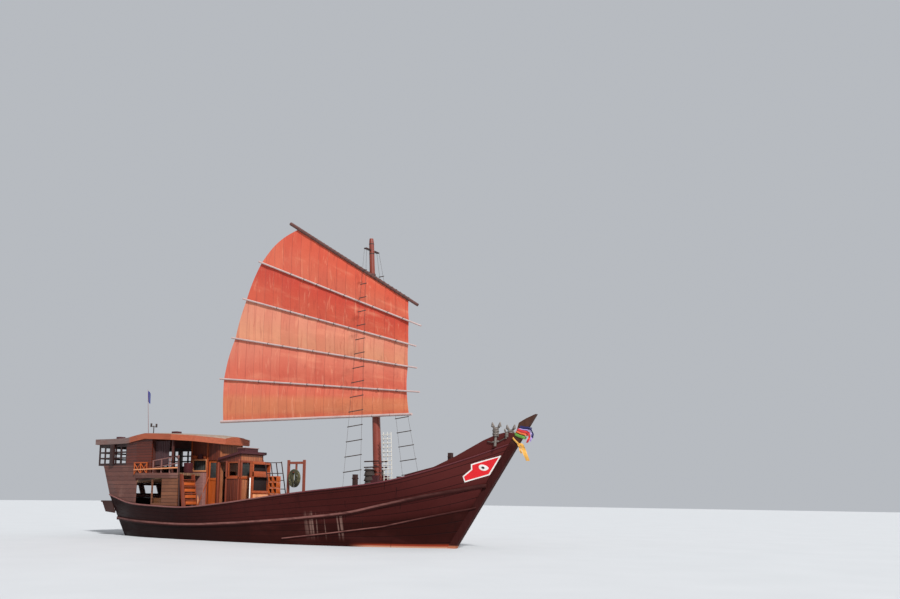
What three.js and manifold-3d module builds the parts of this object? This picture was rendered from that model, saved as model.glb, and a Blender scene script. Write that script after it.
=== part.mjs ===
// A wooden motor junk with one battened lug sail, at full size.
// Millimetres. +X to the bow, +Y to port, +Z up; z = 0 is the waterline, x = 0 is amidships.
import * as THREE from 'three';
import { mergeVertices } from 'three/addons/utils/BufferGeometryUtils.js';
import Module from 'manifold-3d';

const wasm = await Module();
wasm.setup();

// Driving dimensions
const GAP = 0.3; // between pieces that rest on each other
const RUNNING_GAP = 0.4; // between a pin and its bore

const HULL = { wall: 80, keelHalf: 90, deckDrop: 560, deckPlank: 50, capHigh: 60, capWide: 190 };
const STEM = {
  half: 100, front: 8600, back: 8250, rake: 0.675, foot: -1150, headTop: 5140, headFoot: 4430,
  neck: [11370, 4835],
};
const KEEL = { bottom: -1750, heelTop: -1640, aft: -7350, heelAft: -8630 };
const POOP = { step: -7200, fore: -4520, low: 2500, high: 2830, thick: 110, wall: 60 };
const HOUSE = { half: 750, wall: 50, aft: -5400, fore: -3620 };
const WHEELHOUSE = { aft: -3600, fore: -2300, top: 3500 };
const MAST = { x: 4846, deckZ: 1740, top: 13030, rake: -0.0587, footRadius: 195, topRadius: 105 };
const SAIL = { origin: 4500, y: -290, cloth: 12, battenRadius: 45 };
const RUDDER = { x: -8500, stock: 60, bottom: -1600, top: -520, chord: 880 };
const PROPELLER = { x: -7680, z: -1180, radius: 430 };
const STAIR = { topX: -4519.7, footX: -4200, inner: 1480, outer: 2200, treads: 6 };

// Hull stations, aft to fore. x is where the station crosses the waterline, rake is its lean
// (mm forward per mm up), waterline and sheer are half-breadths, fullness shapes the bilge
// (small is full), wale and lowWale are the heights of the two rubbing strakes.
const STATIONS = [
  { x: -8850, rake: -0.35, keel: -250, waterline: 1500, sheer: 1950, sheerZ: 1890, fullness: 0.95,
    wale: 820 },
  { x: -7400, rake: -0.21, keel: -620, waterline: 1950, sheer: 2280, sheerZ: 1525, fullness: 0.9,
    wale: 730 },
  { x: -5850, rake: -0.08, keel: -980, waterline: 2200, sheer: 2430, sheerZ: 1420, fullness: 0.85,
    wale: 680 },
  { x: -3770, rake: 0, keel: -1300, waterline: 2350, sheer: 2560, sheerZ: 1390, fullness: 0.8,
    wale: 660 },
  { x: -1380, rake: 0, keel: -1480, waterline: 2400, sheer: 2620, sheerZ: 1595, fullness: 0.75,
    wale: 760 },
  { x: 900, rake: 0, keel: -1500, waterline: 2330, sheer: 2600, sheerZ: 1873, fullness: 0.75,
    wale: 920 },
  { x: 2970, rake: 0.05, keel: -1480, waterline: 2080, sheer: 2480, sheerZ: 2120, fullness: 0.85,
    wale: 1110 },
  { x: 4720, rake: 0.12, keel: -1440, waterline: 1700, sheer: 2270, sheerZ: 2320, fullness: 1,
    wale: 1330 },
  { x: 6040, rake: 0.25, keel: -1390, waterline: 1230, sheer: 1960, sheerZ: 2560, fullness: 1.15,
    wale: 1680 },
  { x: 7150, rake: 0.42, keel: -1330, waterline: 760, sheer: 1480, sheerZ: 3010, fullness: 1.3,
    wale: 2030 },
  { x: 7920, rake: 0.57, keel: -1240, waterline: 350, sheer: 820, sheerZ: 3535, fullness: 1.4,
    wale: 2280 },
  { x: STEM.back, rake: STEM.rake, keel: STEM.foot, waterline: 95, sheer: 140, sheerZ: 3980,
    fullness: 1.4, wale: 2440 },
];
const STATION_COLUMNS = Object.keys(STATIONS[0]);
const DECK_AFT = -8450; // stations where the deck well starts and ends
const DECK_FORE = 7700;

// Half-breadth of the upper works, by x, to the outside of the walls
const UPPER_PLAN = [[-10800, 1900], [-10000, 1960], [-9000, 2060], [-7400, 2250], [-300, 2350]];

// Half-breadth of the long roof's edge, by x; it narrows to the wheelhouse at its fore end
const ROOF_PLAN = [
  [-10700, 2000], [-9900, 2060], [-8900, 2160], [-7300, 2350], [-5000, 2400], [-4140, 1760],
  [-3230, 760],
];

// Top edge of the long roof's side board, by x
const ROOF_LINE = [
  [-10700, 4580], [-9300, 4570], [-8080, 4590], [-6770, 4765], [-5030, 4680], [-4140, 4630],
  [-3230, 4520],
];
const ROOF = { board: 260, boardThick: 45, slab: 60, camber: 120 };

// Spars and battens. Distances run forward from SAIL.origin; z is the height.
// aft and fore are the spar's ends, clothAft and clothFore the sail's edge on it.
const SPARS = [
  { name: 'yard', aft: [-4660, 14270], fore: [2320, 9800], clothAft: [-4220, 13930],
    clothFore: [1860, 10030], radius: 80 },
  { name: 'batten_1', aft: [-6480, 12730], fore: [2530, 8910], clothAft: [-6340, 12680],
    clothFore: [1890, 9220], radius: SAIL.battenRadius },
  { name: 'batten_2', aft: [-7400, 11080], fore: [2300, 8090], clothAft: [-7210, 11020],
    clothFore: [1890, 8280], radius: SAIL.battenRadius },
  { name: 'batten_3', aft: [-8020, 9280], fore: [2360, 7190], clothAft: [-7830, 9250],
    clothFore: [1890, 7320], radius: SAIL.battenRadius },
  { name: 'batten_4', aft: [-8680, 7390], fore: [2510, 6200], clothAft: [-8460, 7370],
    clothFore: [1840, 6360], radius: SAIL.battenRadius },
  { name: 'boom', aft: [-8550, 5360], fore: [2120, 5320], clothAft: [-8410, 5410],
    clothFore: [1970, 5360], radius: 70 },
];

const COLOURS = {
  hullPaint: [0x3d1519, 0.55], keelPaint: [0x5a1c16, 0.7], weathered: [0x6e4a3c, 0.85],
  varnish: [0xa24c1e, 0.45], roofBoard: [0xa4532a, 0.5], roofTop: [0x7a6a5c, 0.9],
  deckPlank: [0x8a6a4c, 0.8], darkWood: [0x3a2018, 0.7], spar: [0xb9aea3, 0.7],
  mastWood: [0x6b2c1c, 0.5], canvas: [0xc25a41, 0.95], iron: [0x2b2725, 0.6],
  bronze: [0x9a6a35, 0.4], rope: [0x7d7a68, 0.95], engine: [0x4d5a52, 0.5],
};
const METALLIC = { iron: 0.7, bronze: 0.9, engine: 0.4 };

// Small tools for points and solids
const lerp = (a, b, t) => a + (b - a) * t;

function alongTable(table, x) {
  let i = 1;
  while (i < table.length - 1 && table[i][0] < x) i += 1;
  const t = (x - table[i - 1][0]) / (table[i][0] - table[i - 1][0]);
  return lerp(table[i - 1][1], table[i][1], t);
}

const upperHalf = (x) => alongTable(UPPER_PLAN, x);
const roofEdge = (x) => alongTable(ROOF_LINE, x);
const roofHalf = (x) => alongTable(ROOF_PLAN, x);

function station(x) {
  let i = 1;
  while (i < STATIONS.length - 1 && STATIONS[i].x < x) i += 1;
  const t = (x - STATIONS[i - 1].x) / (STATIONS[i].x - STATIONS[i - 1].x);
  const s = {};
  for (const c of STATION_COLUMNS) s[c] = lerp(STATIONS[i - 1][c], STATIONS[i][c], t);
  return s;
}

function stationsBetween(a, b) {
  const inside = STATIONS.filter((s) => s.x > a + 1 && s.x < b - 1).map((s) => s.x);
  return [a, ...inside, b].map(station);
}

function hullHalf(s, z) {
  if (z >= 0) return lerp(s.waterline, s.sheer, z / s.sheerZ);
  const t = 1 - z / s.keel;
  return HULL.keelHalf + (s.waterline - HULL.keelHalf) * Math.sin((t * Math.PI) / 2) ** s.fullness;
}

const deckZ = (s) => s.sheerZ - HULL.deckDrop - 0.06 * Math.max(0, s.sheerZ - 2300);
const atHeight = (s, y, z) => [s.x + s.rake * z, y, z];

function signedVolume(geometry) {
  const p = geometry.attributes.position;
  const index = geometry.index;
  const [a, b, c] = [new THREE.Vector3(), new THREE.Vector3(), new THREE.Vector3()];
  let sum = 0;
  for (let i = 0; i < index.count; i += 3) {
    a.fromBufferAttribute(p, index.getX(i));
    b.fromBufferAttribute(p, index.getX(i + 1));
    c.fromBufferAttribute(p, index.getX(i + 2));
    sum += a.dot(b.cross(c));
  }
  return sum / 6;
}

function faceOutwards(geometry) {
  if (signedVolume(geometry) > 0) return geometry;
  const flipped = Array.from(geometry.index.array);
  for (let i = 0; i < flipped.length; i += 3) {
    [flipped[i], flipped[i + 1]] = [flipped[i + 1], flipped[i]];
  }
  geometry.setIndex(flipped);
  return geometry;
}

// Closed skin through rings that all have the same number of points
function loft(rings) {
  const n = rings[0].length;
  const points = rings.flat();
  const faces = [];
  for (let r = 0; r < rings.length - 1; r += 1) {
    for (let i = 0; i < n; i += 1) {
      const [a, b] = [r * n + i, r * n + ((i + 1) % n)];
      faces.push(a, b, a + n, b, b + n, a + n);
    }
  }
  for (const [ring, turned] of [[0, true], [rings.length - 1, false]]) {
    const flat = rings[ring].map((p) => new THREE.Vector3(...p));
    const normal = new THREE.Vector3();
    for (let i = 1; i < n - 1; i += 1) {
      const u = flat[i].clone().sub(flat[0]);
      normal.add(u.cross(flat[i + 1].clone().sub(flat[0])));
    }
    const across = flat[1].clone().sub(flat[0]).normalize();
    const up = normal.normalize().clone().cross(across);
    const outline = flat.map((p) => new THREE.Vector2(p.dot(across), p.dot(up)));
    for (const [a, b, c] of THREE.ShapeUtils.triangulateShape(outline, [])) {
      const base = ring * n;
      if (turned) faces.push(base + a, base + c, base + b);
      else faces.push(base + a, base + b, base + c);
    }
  }
  const geometry = new THREE.BufferGeometry();
  geometry.setAttribute('position', new THREE.Float32BufferAttribute(points.flat(), 3));
  geometry.setIndex(faces);
  return faceOutwards(geometry);
}

function box(x0, x1, y0, y1, z0, z1) {
  const g = new THREE.BoxGeometry(Math.abs(x1 - x0), Math.abs(y1 - y0), Math.abs(z1 - z0));
  return g.translate((x0 + x1) / 2, (y0 + y1) / 2, (z0 + z1) / 2);
}

// Side-view outline in x and z, made thick from y0 to y1
function sideShape(outline, y0, y1) {
  const shape = new THREE.Shape(outline.map(([x, z]) => new THREE.Vector2(x, z)));
  const g = new THREE.ExtrudeGeometry(shape, { depth: Math.abs(y1 - y0), bevelEnabled: false });
  return g.rotateX(Math.PI / 2).translate(0, Math.max(y0, y1), 0);
}

// Rod between two points. A corner of its section faces +Y (or +X on a rod along Y); with
// turned = 0.5 a flat does.
function rod(from, to, radius, sides = 8, endRadius = radius, turned = 0) {
  const [a, b] = [new THREE.Vector3(...from), new THREE.Vector3(...to)];
  const way = b.clone().sub(a).normalize();
  const facing = Math.abs(way.y) < 0.7 ? new THREE.Vector3(0, 1, 0) : new THREE.Vector3(1, 0, 0);
  facing.addScaledVector(way, -facing.dot(way)).normalize();
  const across = way.clone().cross(facing);
  const g = new THREE.CylinderGeometry(endRadius, radius, a.distanceTo(b), sides);
  g.rotateY((turned * 2 * Math.PI) / sides);
  g.applyMatrix4(new THREE.Matrix4().makeBasis(across, way, facing));
  const middle = a.add(b).multiplyScalar(0.5);
  return g.translate(middle.x, middle.y, middle.z);
}

function solid(shape) {
  if (shape instanceof wasm.Manifold) return shape;
  let g = shape.clone();
  for (const extra of ['normal', 'uv']) g.deleteAttribute(extra);
  g = mergeVertices(g, 0.001);
  return new wasm.Manifold(new wasm.Mesh({
    numProp: 3,
    vertProperties: new Float32Array(g.attributes.position.array),
    triVerts: new Uint32Array(g.index.array),
  }));
}

const join = (...shapes) => shapes.map(solid).reduce((a, b) => a.add(b));
const common = (a, b) => solid(a).intersect(solid(b));
const cut = (shape, ...tools) => tools.map(solid).reduce((a, b) => a.subtract(b), solid(shape));

function geometryOf(shape) {
  if (!(shape instanceof wasm.Manifold)) return shape;
  const mesh = shape.getMesh();
  const g = new THREE.BufferGeometry();
  g.setAttribute('position', new THREE.Float32BufferAttribute(mesh.vertProperties, 3));
  g.setIndex(Array.from(mesh.triVerts));
  return g;
}

const ship = new THREE.Group();
ship.name = 'motor_junk';

function piece(name, shape, colour) {
  const geometry = geometryOf(shape);
  geometry.computeVertexNormals();
  const [color, roughness] = COLOURS[colour];
  const material = new THREE.MeshStandardMaterial({
    color, roughness, metalness: METALLIC[colour] ?? 0,
  });
  const mesh = new THREE.Mesh(geometry, material);
  mesh.name = name;
  ship.add(mesh);
  return mesh;
}

const SIDES = [{ name: 'starboard', way: -1 }, { name: 'port', way: 1 }];

// Hull
const HULL_LEVELS_BELOW = [0, 0.1, 0.25, 0.45, 0.7];
const HULL_LEVELS_ABOVE = [0, 0.25, 0.5, 0.75, 1];

function hullRing(s, grow = 0) {
  const heights = [
    ...HULL_LEVELS_BELOW.map((t) => s.keel * (1 - t)),
    ...HULL_LEVELS_ABOVE.map((t) => s.sheerZ * t),
  ];
  const half = heights.map((z) => [z, hullHalf(s, z) + grow]);
  const starboard = half.map(([z, y]) => atHeight(s, -y, z));
  const port = half.map(([z, y]) => atHeight(s, y, z)).reverse();
  return [...port, ...starboard];
}

function deckWell() {
  return loft(stationsBetween(DECK_AFT, DECK_FORE).map((s) => {
    const [low, high] = [deckZ(s), s.sheerZ + 700];
    const [yLow, yHigh] = [low, high].map((z) => hullHalf(s, z) - HULL.wall);
    return [
      atHeight(s, -yLow, low), atHeight(s, yLow, low), atHeight(s, yHigh, high),
      atHeight(s, -yHigh, high),
    ];
  }));
}
// Everything above the deck between the solid ends of the hull, from y0 to y1
function aboveDeck(y0, y1, gap) {
  return loft(stationsBetween(DECK_AFT + gap, DECK_FORE - gap).map((s) => {
    const [low, high] = [deckZ(s) + gap, s.sheerZ + BLOCK.deep];
    return [
      atHeight(s, y0, low), atHeight(s, y1, low), atHeight(s, y1, high), atHeight(s, y0, high),
    ];
  }));
}

const BLOCK = { wide: 4000, deep: 1500 }; // half-width and depth of trimming blocks
const ENGINE = { x0: -5900, x1: -4100, half: 420, bottom: -700, top: 420, well: 120 };
const HATCH = { x0: -5750, x1: -4900, half: 380 };

const hullSkin = loft(STATIONS.map((s) => hullRing(s)));

function hullBody() {
  const engineWell = box(
    ENGINE.x0 - ENGINE.well, ENGINE.x1 + ENGINE.well, -ENGINE.half - ENGINE.well,
    ENGINE.half + ENGINE.well, ENGINE.bottom - GAP, 1200,
  );
  const stockBore = rod(
    [RUDDER.x, 0, -900], [RUDDER.x, 0, 300], boreRadius(RUDDER.stock, 16), 16,
    boreRadius(RUDDER.stock, 16), 0.5,
  );
  return cut(hullSkin, aboveDeck(-BLOCK.wide, BLOCK.wide, 0), engineWell, stockBore);
}

// Corner radius of a bore with flat sides that clears a round pin by the running gap
function boreRadius(pin, sides) {
  return (pin + RUNNING_GAP) / Math.cos(Math.PI / sides);
}

// A strake lies on the hull at the heights that zOf gives, and is cut to the hull's skin.
// Its joints stand off the stations, so the cut has no slivers.
const STRAKE_SHIFT = 40;
function strake(from, to, way, zOf, high, proud) {
  const inside = STATIONS.map((s) => s.x + STRAKE_SHIFT).filter((x) => x > from + 100 && x < to - 100);
  const rings = [from, ...inside, to].map(station).map((s) => {
    const z = zOf(s);
    const levels = [z - high / 2, z + high / 2];
    const [low, top] = levels.map((level) => hullHalf(s, level));
    return [
      atHeight(s, way * (low - 30), levels[0]), atHeight(s, way * (low + proud), levels[0]),
      atHeight(s, way * (top + proud), levels[1]), atHeight(s, way * (top - 30), levels[1]),
    ];
  });
  return loft(rings);
}

const HULL_AFT = STATIONS[0].x;
const HULL_FORE = STEM.back;
const SKIN_GAP = 0.5; // between the hull's skin and what lies on it
const hullGrown = loft([
  hullRing({ ...STATIONS[0], x: HULL_AFT - SKIN_GAP }, SKIN_GAP),
  ...STATIONS.slice(1).map((s) => hullRing(s, SKIN_GAP)),
]);

piece('hull', hullBody(), 'hullPaint');

// Bulwarks that stand on the hull's edge along the deck
const bulwarks = cut(hullSkin, deckWell());
for (const { name, way } of SIDES) {
  const [inner, outer] = [way, way * BLOCK.wide].sort((a, b) => a - b);
  piece(`bulwark_${name}`, common(bulwarks, aboveDeck(inner, outer, GAP)), 'hullPaint');
}

// Rubbing strake along both sides and across the stern
const WALE = { high: 150, proud: 55 };
const waleSides = SIDES.map((side) => strake(
  HULL_AFT, HULL_FORE, side.way, (s) => s.wale, WALE.high, WALE.proud,
));
const sternWale = loft([-60, 30].map((out) => {
  const s = station(HULL_AFT);
  const half = hullHalf(s, s.wale) + WALE.proud;
  return [-1, 1].flatMap((way) => [-1, 1].map((end) => {
    const z = s.wale + (way * end * WALE.high) / 2;
    return [s.x + s.rake * z + out, way * half, z];
  }));
}));
piece('wale', cut(join(...waleSides, sternWale), hullGrown), 'hullPaint');

// Cap rail on the bulwark, both sides and across the stern in one frame
function capSide(way) {
  const rings = stationsBetween(HULL_AFT, HULL_FORE).map((s) => {
    const [z0, z1] = [s.sheerZ + GAP, s.sheerZ + HULL.capHigh];
    const outer = s.sheer + 45;
    const inner = Math.max(s.sheer + 45 - HULL.capWide, 20);
    return [
      atHeight(s, way * inner, z0), atHeight(s, way * outer, z0), atHeight(s, way * outer, z1),
      atHeight(s, way * inner, z1),
    ];
  });
  return loft(rings);
}

// Its part across the stern, on the straight run between the first two stations
function capStern() {
  const [aft, next] = STATIONS.slice(0, 2).map((s) => {
    const [z0, z1] = [s.sheerZ + GAP, s.sheerZ + HULL.capHigh];
    return [
      atHeight(s, -s.sheer, z0), atHeight(s, s.sheer, z0), atHeight(s, s.sheer, z1),
      atHeight(s, -s.sheer, z1),
    ];
  });
  const t = HULL.capWide / (STATIONS[1].x - STATIONS[0].x);
  return loft([aft, aft.map((point, k) => point.map((v, i) => lerp(v, next[k][i], t)))]);
}
piece('cap_rail', join(capSide(-1), capSide(1), capStern()), 'weathered');

// Stem timber, from the forefoot up to the carved head
const stemFront = (z) => STEM.front + STEM.rake * z;
const stemBack = (z) => STEM.back + STEM.rake * z + GAP;
const STEM_HEAD = [[stemFront(STEM.headTop), STEM.headTop], [11680, 4990], STEM.neck];
piece('stem', sideShape([
  [stemBack(STEM.foot), STEM.foot], [stemFront(STEM.foot), STEM.foot], ...STEM_HEAD,
  [stemBack(STEM.headFoot), STEM.headFoot],
], -STEM.half, STEM.half), 'keelPaint');

// Keel timber with the stern post, and the heel bar under the propeller
function keelOutline() {
  const line = STATIONS.map((s) => [s.x + s.rake * s.keel, s.keel - GAP]);
  const start = KEEL.aft + 150;
  return [
    [start, alongTable(line, start)], ...line.filter(([x]) => x > start),
    [stemFront(STEM.foot), STEM.foot - GAP], [7450, -1560], [6900, KEEL.bottom],
    [KEEL.heelAft, KEEL.bottom], [KEEL.heelAft, KEEL.heelTop], [KEEL.aft - 80, KEEL.heelTop],
  ];
}
const SHAFT = { radius: 45, length: 260 };
const RUDDER_PIN = { radius: 32, depth: 70 };
piece('keel', cut(
  sideShape(keelOutline(), -HULL.keelHalf, HULL.keelHalf),
  rod(
    [KEEL.aft - 400, 0, PROPELLER.z], [KEEL.aft + SHAFT.length + 20, 0, PROPELLER.z],
    boreRadius(SHAFT.radius, 16), 16, boreRadius(SHAFT.radius, 16), 0.5,
  ),
  rod(
    [RUDDER.x, 0, KEEL.heelTop - RUDDER_PIN.depth], [RUDDER.x, 0, KEEL.heelTop + 50],
    boreRadius(RUDDER_PIN.radius, 16), 16, boreRadius(RUDDER_PIN.radius, 16), 0.5,
  ),
), 'keelPaint');

// Main deck planking
const deckRings = stationsBetween(DECK_AFT + 10, DECK_FORE - 10).map((s) => {
  const [z0, z1] = [deckZ(s) + GAP, deckZ(s) + HULL.deckPlank];
  const [y0, y1] = [z0, z1].map((z) => hullHalf(s, z) - HULL.wall - 8);
  return [atHeight(s, -y0, z0), atHeight(s, y0, z0), atHeight(s, y1, z1), atHeight(s, -y1, z1)];
});
// What stands on the main deck, the cap rail or the poop deck, or reaches up to the roof, is
// made too long and cut to it by one of these blocks, which stand off by the gap.
function blockBelow(line) {
  return loft(line.map(([x, z]) => [
    [x, -BLOCK.wide, z - BLOCK.deep], [x, BLOCK.wide, z - BLOCK.deep],
    [x, BLOCK.wide, z + GAP], [x, -BLOCK.wide, z + GAP],
  ]));
}
const deckLine = stationsBetween(DECK_AFT, DECK_FORE).map((s) => {
  const z = deckZ(s) + HULL.deckPlank;
  return [s.x + s.rake * z, z];
});
const capLine = stationsBetween(HULL_AFT, HULL_FORE).map((s) => {
  const z = s.sheerZ + HULL.capHigh;
  return [s.x + s.rake * z, z];
});
const aftOfCap = capLine[0][0] - 100;
capLine.unshift([aftOfCap, alongTable(capLine, aftOfCap)]);
const deckBlock = blockBelow(deckLine);
const capBlock = blockBelow(capLine);
const onDeck = (shape) => cut(shape, deckBlock);
const onCap = (shape) => cut(shape, capBlock);
const deckTopAt = (x) => alongTable(deckLine, x);
const capTopAt = (x) => alongTable(capLine, x);
const hullSheerAt = (x) => alongTable(STATIONS.map((s) => [s.x + s.rake * s.sheerZ, s.sheer]), x);

piece('engine', join(
  box(ENGINE.x0, ENGINE.x1, -ENGINE.half, ENGINE.half, ENGINE.bottom, ENGINE.bottom + 500),
  box(ENGINE.x0 + 200, ENGINE.x1 - 200, -300, 300, ENGINE.bottom + 400, ENGINE.top),
), 'engine');

// Engine hatch lid with a hinge bar that turns between two lugs
const hatchZ = deckTopAt(HATCH.x0) + 30;
const HATCH_PIN = { x: HATCH.x0 - 60, z: hatchZ + 20, radius: 18, half: 200 };
piece('engine_hatch', join(
  box(HATCH.x0 - 15, HATCH.x1 + 40, -HATCH.half - 40, HATCH.half + 40, hatchZ, hatchZ + 40),
  box(HATCH_PIN.x, HATCH.x0, -150, 150, hatchZ + 8, hatchZ + 32),
  rod([HATCH_PIN.x, -HATCH_PIN.half, HATCH_PIN.z], [HATCH_PIN.x, HATCH_PIN.half, HATCH_PIN.z],
    HATCH_PIN.radius, 12),
), 'deckPlank');
const LUG = { long: 60, wide: 40, high: 40 };
const coaming = join(
  cut(
    box(HATCH.x0 - 20, HATCH.x1 + 20, -HATCH.half - 20, HATCH.half + 20, deckTopAt(HATCH.x1) - 20,
      hatchZ - GAP),
    box(HATCH.x0, HATCH.x1, -HATCH.half, HATCH.half, 0, 2000),
  ),
  ...SIDES.map((side) => box(
    HATCH_PIN.x - LUG.long / 2, HATCH.x0 - 30, side.way * (HATCH_PIN.half + GAP),
    side.way * (HATCH_PIN.half + LUG.wide), deckTopAt(HATCH.x0) - 20, hatchZ + LUG.high,
  )),
);
const deckSheet = cut(
  loft(deckRings), box(HATCH.x0, HATCH.x1, -HATCH.half, HATCH.half, 0, 2000),
);
piece('main_deck', join(deckSheet, coaming), 'deckPlank');

// Raised strakes of the bow, joined behind the stem by a breasthook
const BOW_STRAKE = {
  stations: [6450, 6800, 7150, 7500, 7920, 8040, 8140, HULL_FORE], thick: 70, foot: 20,
  rise: [[7200, 40], [8420, 60], [9100, 210], [9930, 540], [10480, 640], [10800, 450],
    [11100, 300]],
};
function bowStrake(way) {
  const rings = BOW_STRAKE.stations.map(station).map((s) => {
    const z0 = s.sheerZ + HULL.capHigh - BOW_STRAKE.foot;
    const z1 = z0 + BOW_STRAKE.foot + alongTable(BOW_STRAKE.rise, s.x + s.rake * s.sheerZ);
    const [y0, y1] = [hullHalf(s, z0), hullHalf(s, z1)];
    return [
      atHeight(s, way * Math.max(y0 - BOW_STRAKE.thick, 10), z0), atHeight(s, way * y0, z0),
      atHeight(s, way * y1, z1), atHeight(s, way * Math.max(y1 - BOW_STRAKE.thick, 10), z1),
    ];
  });
  return loft(rings);
}
const hookStation = station(HULL_FORE - 250);
const hookZ = hookStation.sheerZ + HULL.capHigh;
const breasthook = box(
  hookStation.x + hookStation.rake * hookZ - 120, hookStation.x + hookStation.rake * hookZ + 120,
  -hullHalf(hookStation, hookZ) + 20, hullHalf(hookStation, hookZ) - 20, hookZ - 60, hookZ + 200,
);
piece('bow_bulwark', onCap(join(bowStrake(-1), bowStrake(1), breasthook)), 'hullPaint');

// The roof's plan and camber
function roofStations(inset, from = ROOF_LINE[0][0], to = ROOF_LINE.at(-1)[0]) {
  const rows = [...ROOF_LINE, ...ROOF_PLAN].map(([x]) => x).sort((a, b) => a - b);
  const inside = rows.filter((x, i) => x > from + 1 && x < to - 1 && x !== rows[i - 1]);
  return [from, ...inside, to].map((x) => ({ x, y: roofHalf(x) - inset, z: roofEdge(x) }));
}
const CAMBER_STEPS = [-1, -0.5, 0, 0.5, 1];
const camberAt = (t) => ROOF.camber * (1 - t * t);
const roofInset = ROOF.boardThick + GAP;
function roofShape(from, to, low, high) {
  return loft(roofStations(roofInset, from, to).map(({ x, y, z }) => [
    ...CAMBER_STEPS.map((t) => [x, t * y, z - ROOF.slab + camberAt(t) + low]),
    ...CAMBER_STEPS.map((t) => [x, -t * y, z + camberAt(t) + high]),
  ]));
}
const roofEnds = [ROOF_LINE[0][0] + roofInset, ROOF_LINE.at(-1)[0] - roofInset];
const roofBlock = roofShape(...roofEnds, -GAP, 900);
const underRoof = (shape) => cut(shape, roofBlock);

// Upper works aft. A wall follows the plan line; each row is x low, x high, z low, z high.
function wall(way, rows, thick, inset = 0) {
  const rings = rows.map(({ xLow, xHigh = xLow, yLow, zLow, zHigh }) => {
    const outerLow = (yLow ?? upperHalf(xLow)) - inset;
    const outerHigh = upperHalf(xHigh) - inset;
    return [
      [xLow, way * (outerLow - thick), zLow], [xLow, way * outerLow, zLow],
      [xHigh, way * outerHigh, zHigh], [xHigh, way * (outerHigh - thick), zHigh],
    ];
  });
  return loft(rings);
}

const STERN_HALF = 2600;
const QUARTER = { top: 3300, aftTop: -10060, fore: -7300, aftFoot: -9530 };
const quarterRows = [
  { xLow: QUARTER.aftFoot, xHigh: QUARTER.aftTop }, { xLow: -8500, xHigh: -8700 },
  { xLow: QUARTER.fore },
].map((row) => ({
  ...row, yLow: hullSheerAt(row.xLow), zLow: capTopAt(row.xLow) - 20, zHigh: QUARTER.top,
}));
for (const side of SIDES) {
  piece(`quarter_side_${side.name}`, onCap(wall(side.way, quarterRows, POOP.wall)), 'weathered');
}
// Everything outside the inner faces of the quarter sides
const outsideQuarters = SIDES.map((side) => wall(
  side.way, quarterRows, BLOCK.deep + POOP.wall + GAP, -BLOCK.deep,
));

// Raised stern panel with two look-out windows below the poop deck
function sternSheet(aft, fore) {
  const [low, high] = [capTopAt(QUARTER.aftFoot) - 20, QUARTER.top];
  const foot = QUARTER.aftFoot + 12 + (QUARTER.aftFoot - QUARTER.aftTop) * (20 / (high - low));
  const top = QUARTER.aftTop + 12;
  return loft([-1, 1].map((way) => [
    [foot + aft, way * STERN_HALF, low], [foot + fore, way * STERN_HALF, low],
    [top + fore, way * STERN_HALF, high], [top + aft, way * STERN_HALF, high],
  ]));
}
const STERN_WINDOW = { inner: 150, outer: 950, low: 2010, high: 2400 };
const sternWindows = SIDES.map((side) => box(
  -10500, -9000, side.way * STERN_WINDOW.inner, side.way * STERN_WINDOW.outer,
  STERN_WINDOW.low, STERN_WINDOW.high,
));
piece('stern_panel', onCap(cut(
  sternSheet(0, POOP.wall), ...outsideQuarters, ...sternWindows,
)), 'weathered');

// Poop deck, inside the quarter sides aft and out to the rail forward
const poopZ = (x) => (x < POOP.step ? POOP.low
  : lerp(POOP.low, POOP.high, (x - POOP.step) / (POOP.fore - POOP.step)));
const poopSlab = (rows, low, high) => loft(rows.map(([x, out]) => {
  const [y, z] = [upperHalf(x) + out, poopZ(x)];
  return [[x, -y, z + low], [x, y, z + low], [x, y, z + high], [x, -y, z + high]];
}));
const POOP_ROWS = [[-10150, 0], [-9200, 0], [QUARTER.fore, 0], [POOP.step, 20], [POOP.fore, 20]];
piece('poop_deck', cut(
  poopSlab(POOP_ROWS, 0, POOP.thick), ...outsideQuarters, sternSheet(-BLOCK.deep, POOP.wall + GAP),
  box(HOUSE.aft - GAP, POOP.fore + 100, -HOUSE.half - GAP, HOUSE.half + GAP, 0, 4000),
), 'weathered');
const poopBlock = poopSlab([[-10300, 500], [POOP.step, 500], [POOP.fore + 20, 500]], -600,
  POOP.thick + GAP);
const underPoopBlock = poopSlab([[-10300, 500], [POOP.step, 500], [POOP.fore + 20, 500]], -GAP, 900);
const onPoop = (shape) => cut(shape, poopBlock);
const poopTop = (x) => poopZ(x) + POOP.thick;

// Solid walls of the after cabin, notched over the quarter sides
const CABIN = { aft: -8209.7, fore: -6350 };
for (const side of SIDES) {
  const upper = wall(side.way, [CABIN.aft, -7400, CABIN.fore].map((x) => ({
    xLow: x, zLow: QUARTER.top + GAP, zHigh: roofEdge(x) + 60,
  })), POOP.wall);
  const skirt = wall(side.way, [QUARTER.fore + GAP, POOP.step, CABIN.fore].map((x) => ({
    xLow: x, zLow: poopTop(x) - 20, zHigh: QUARTER.top + 200,
  })), POOP.wall);
  piece(`cabin_side_${side.name}`, underRoof(onPoop(join(upper, skirt))), 'varnish');
}

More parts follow.
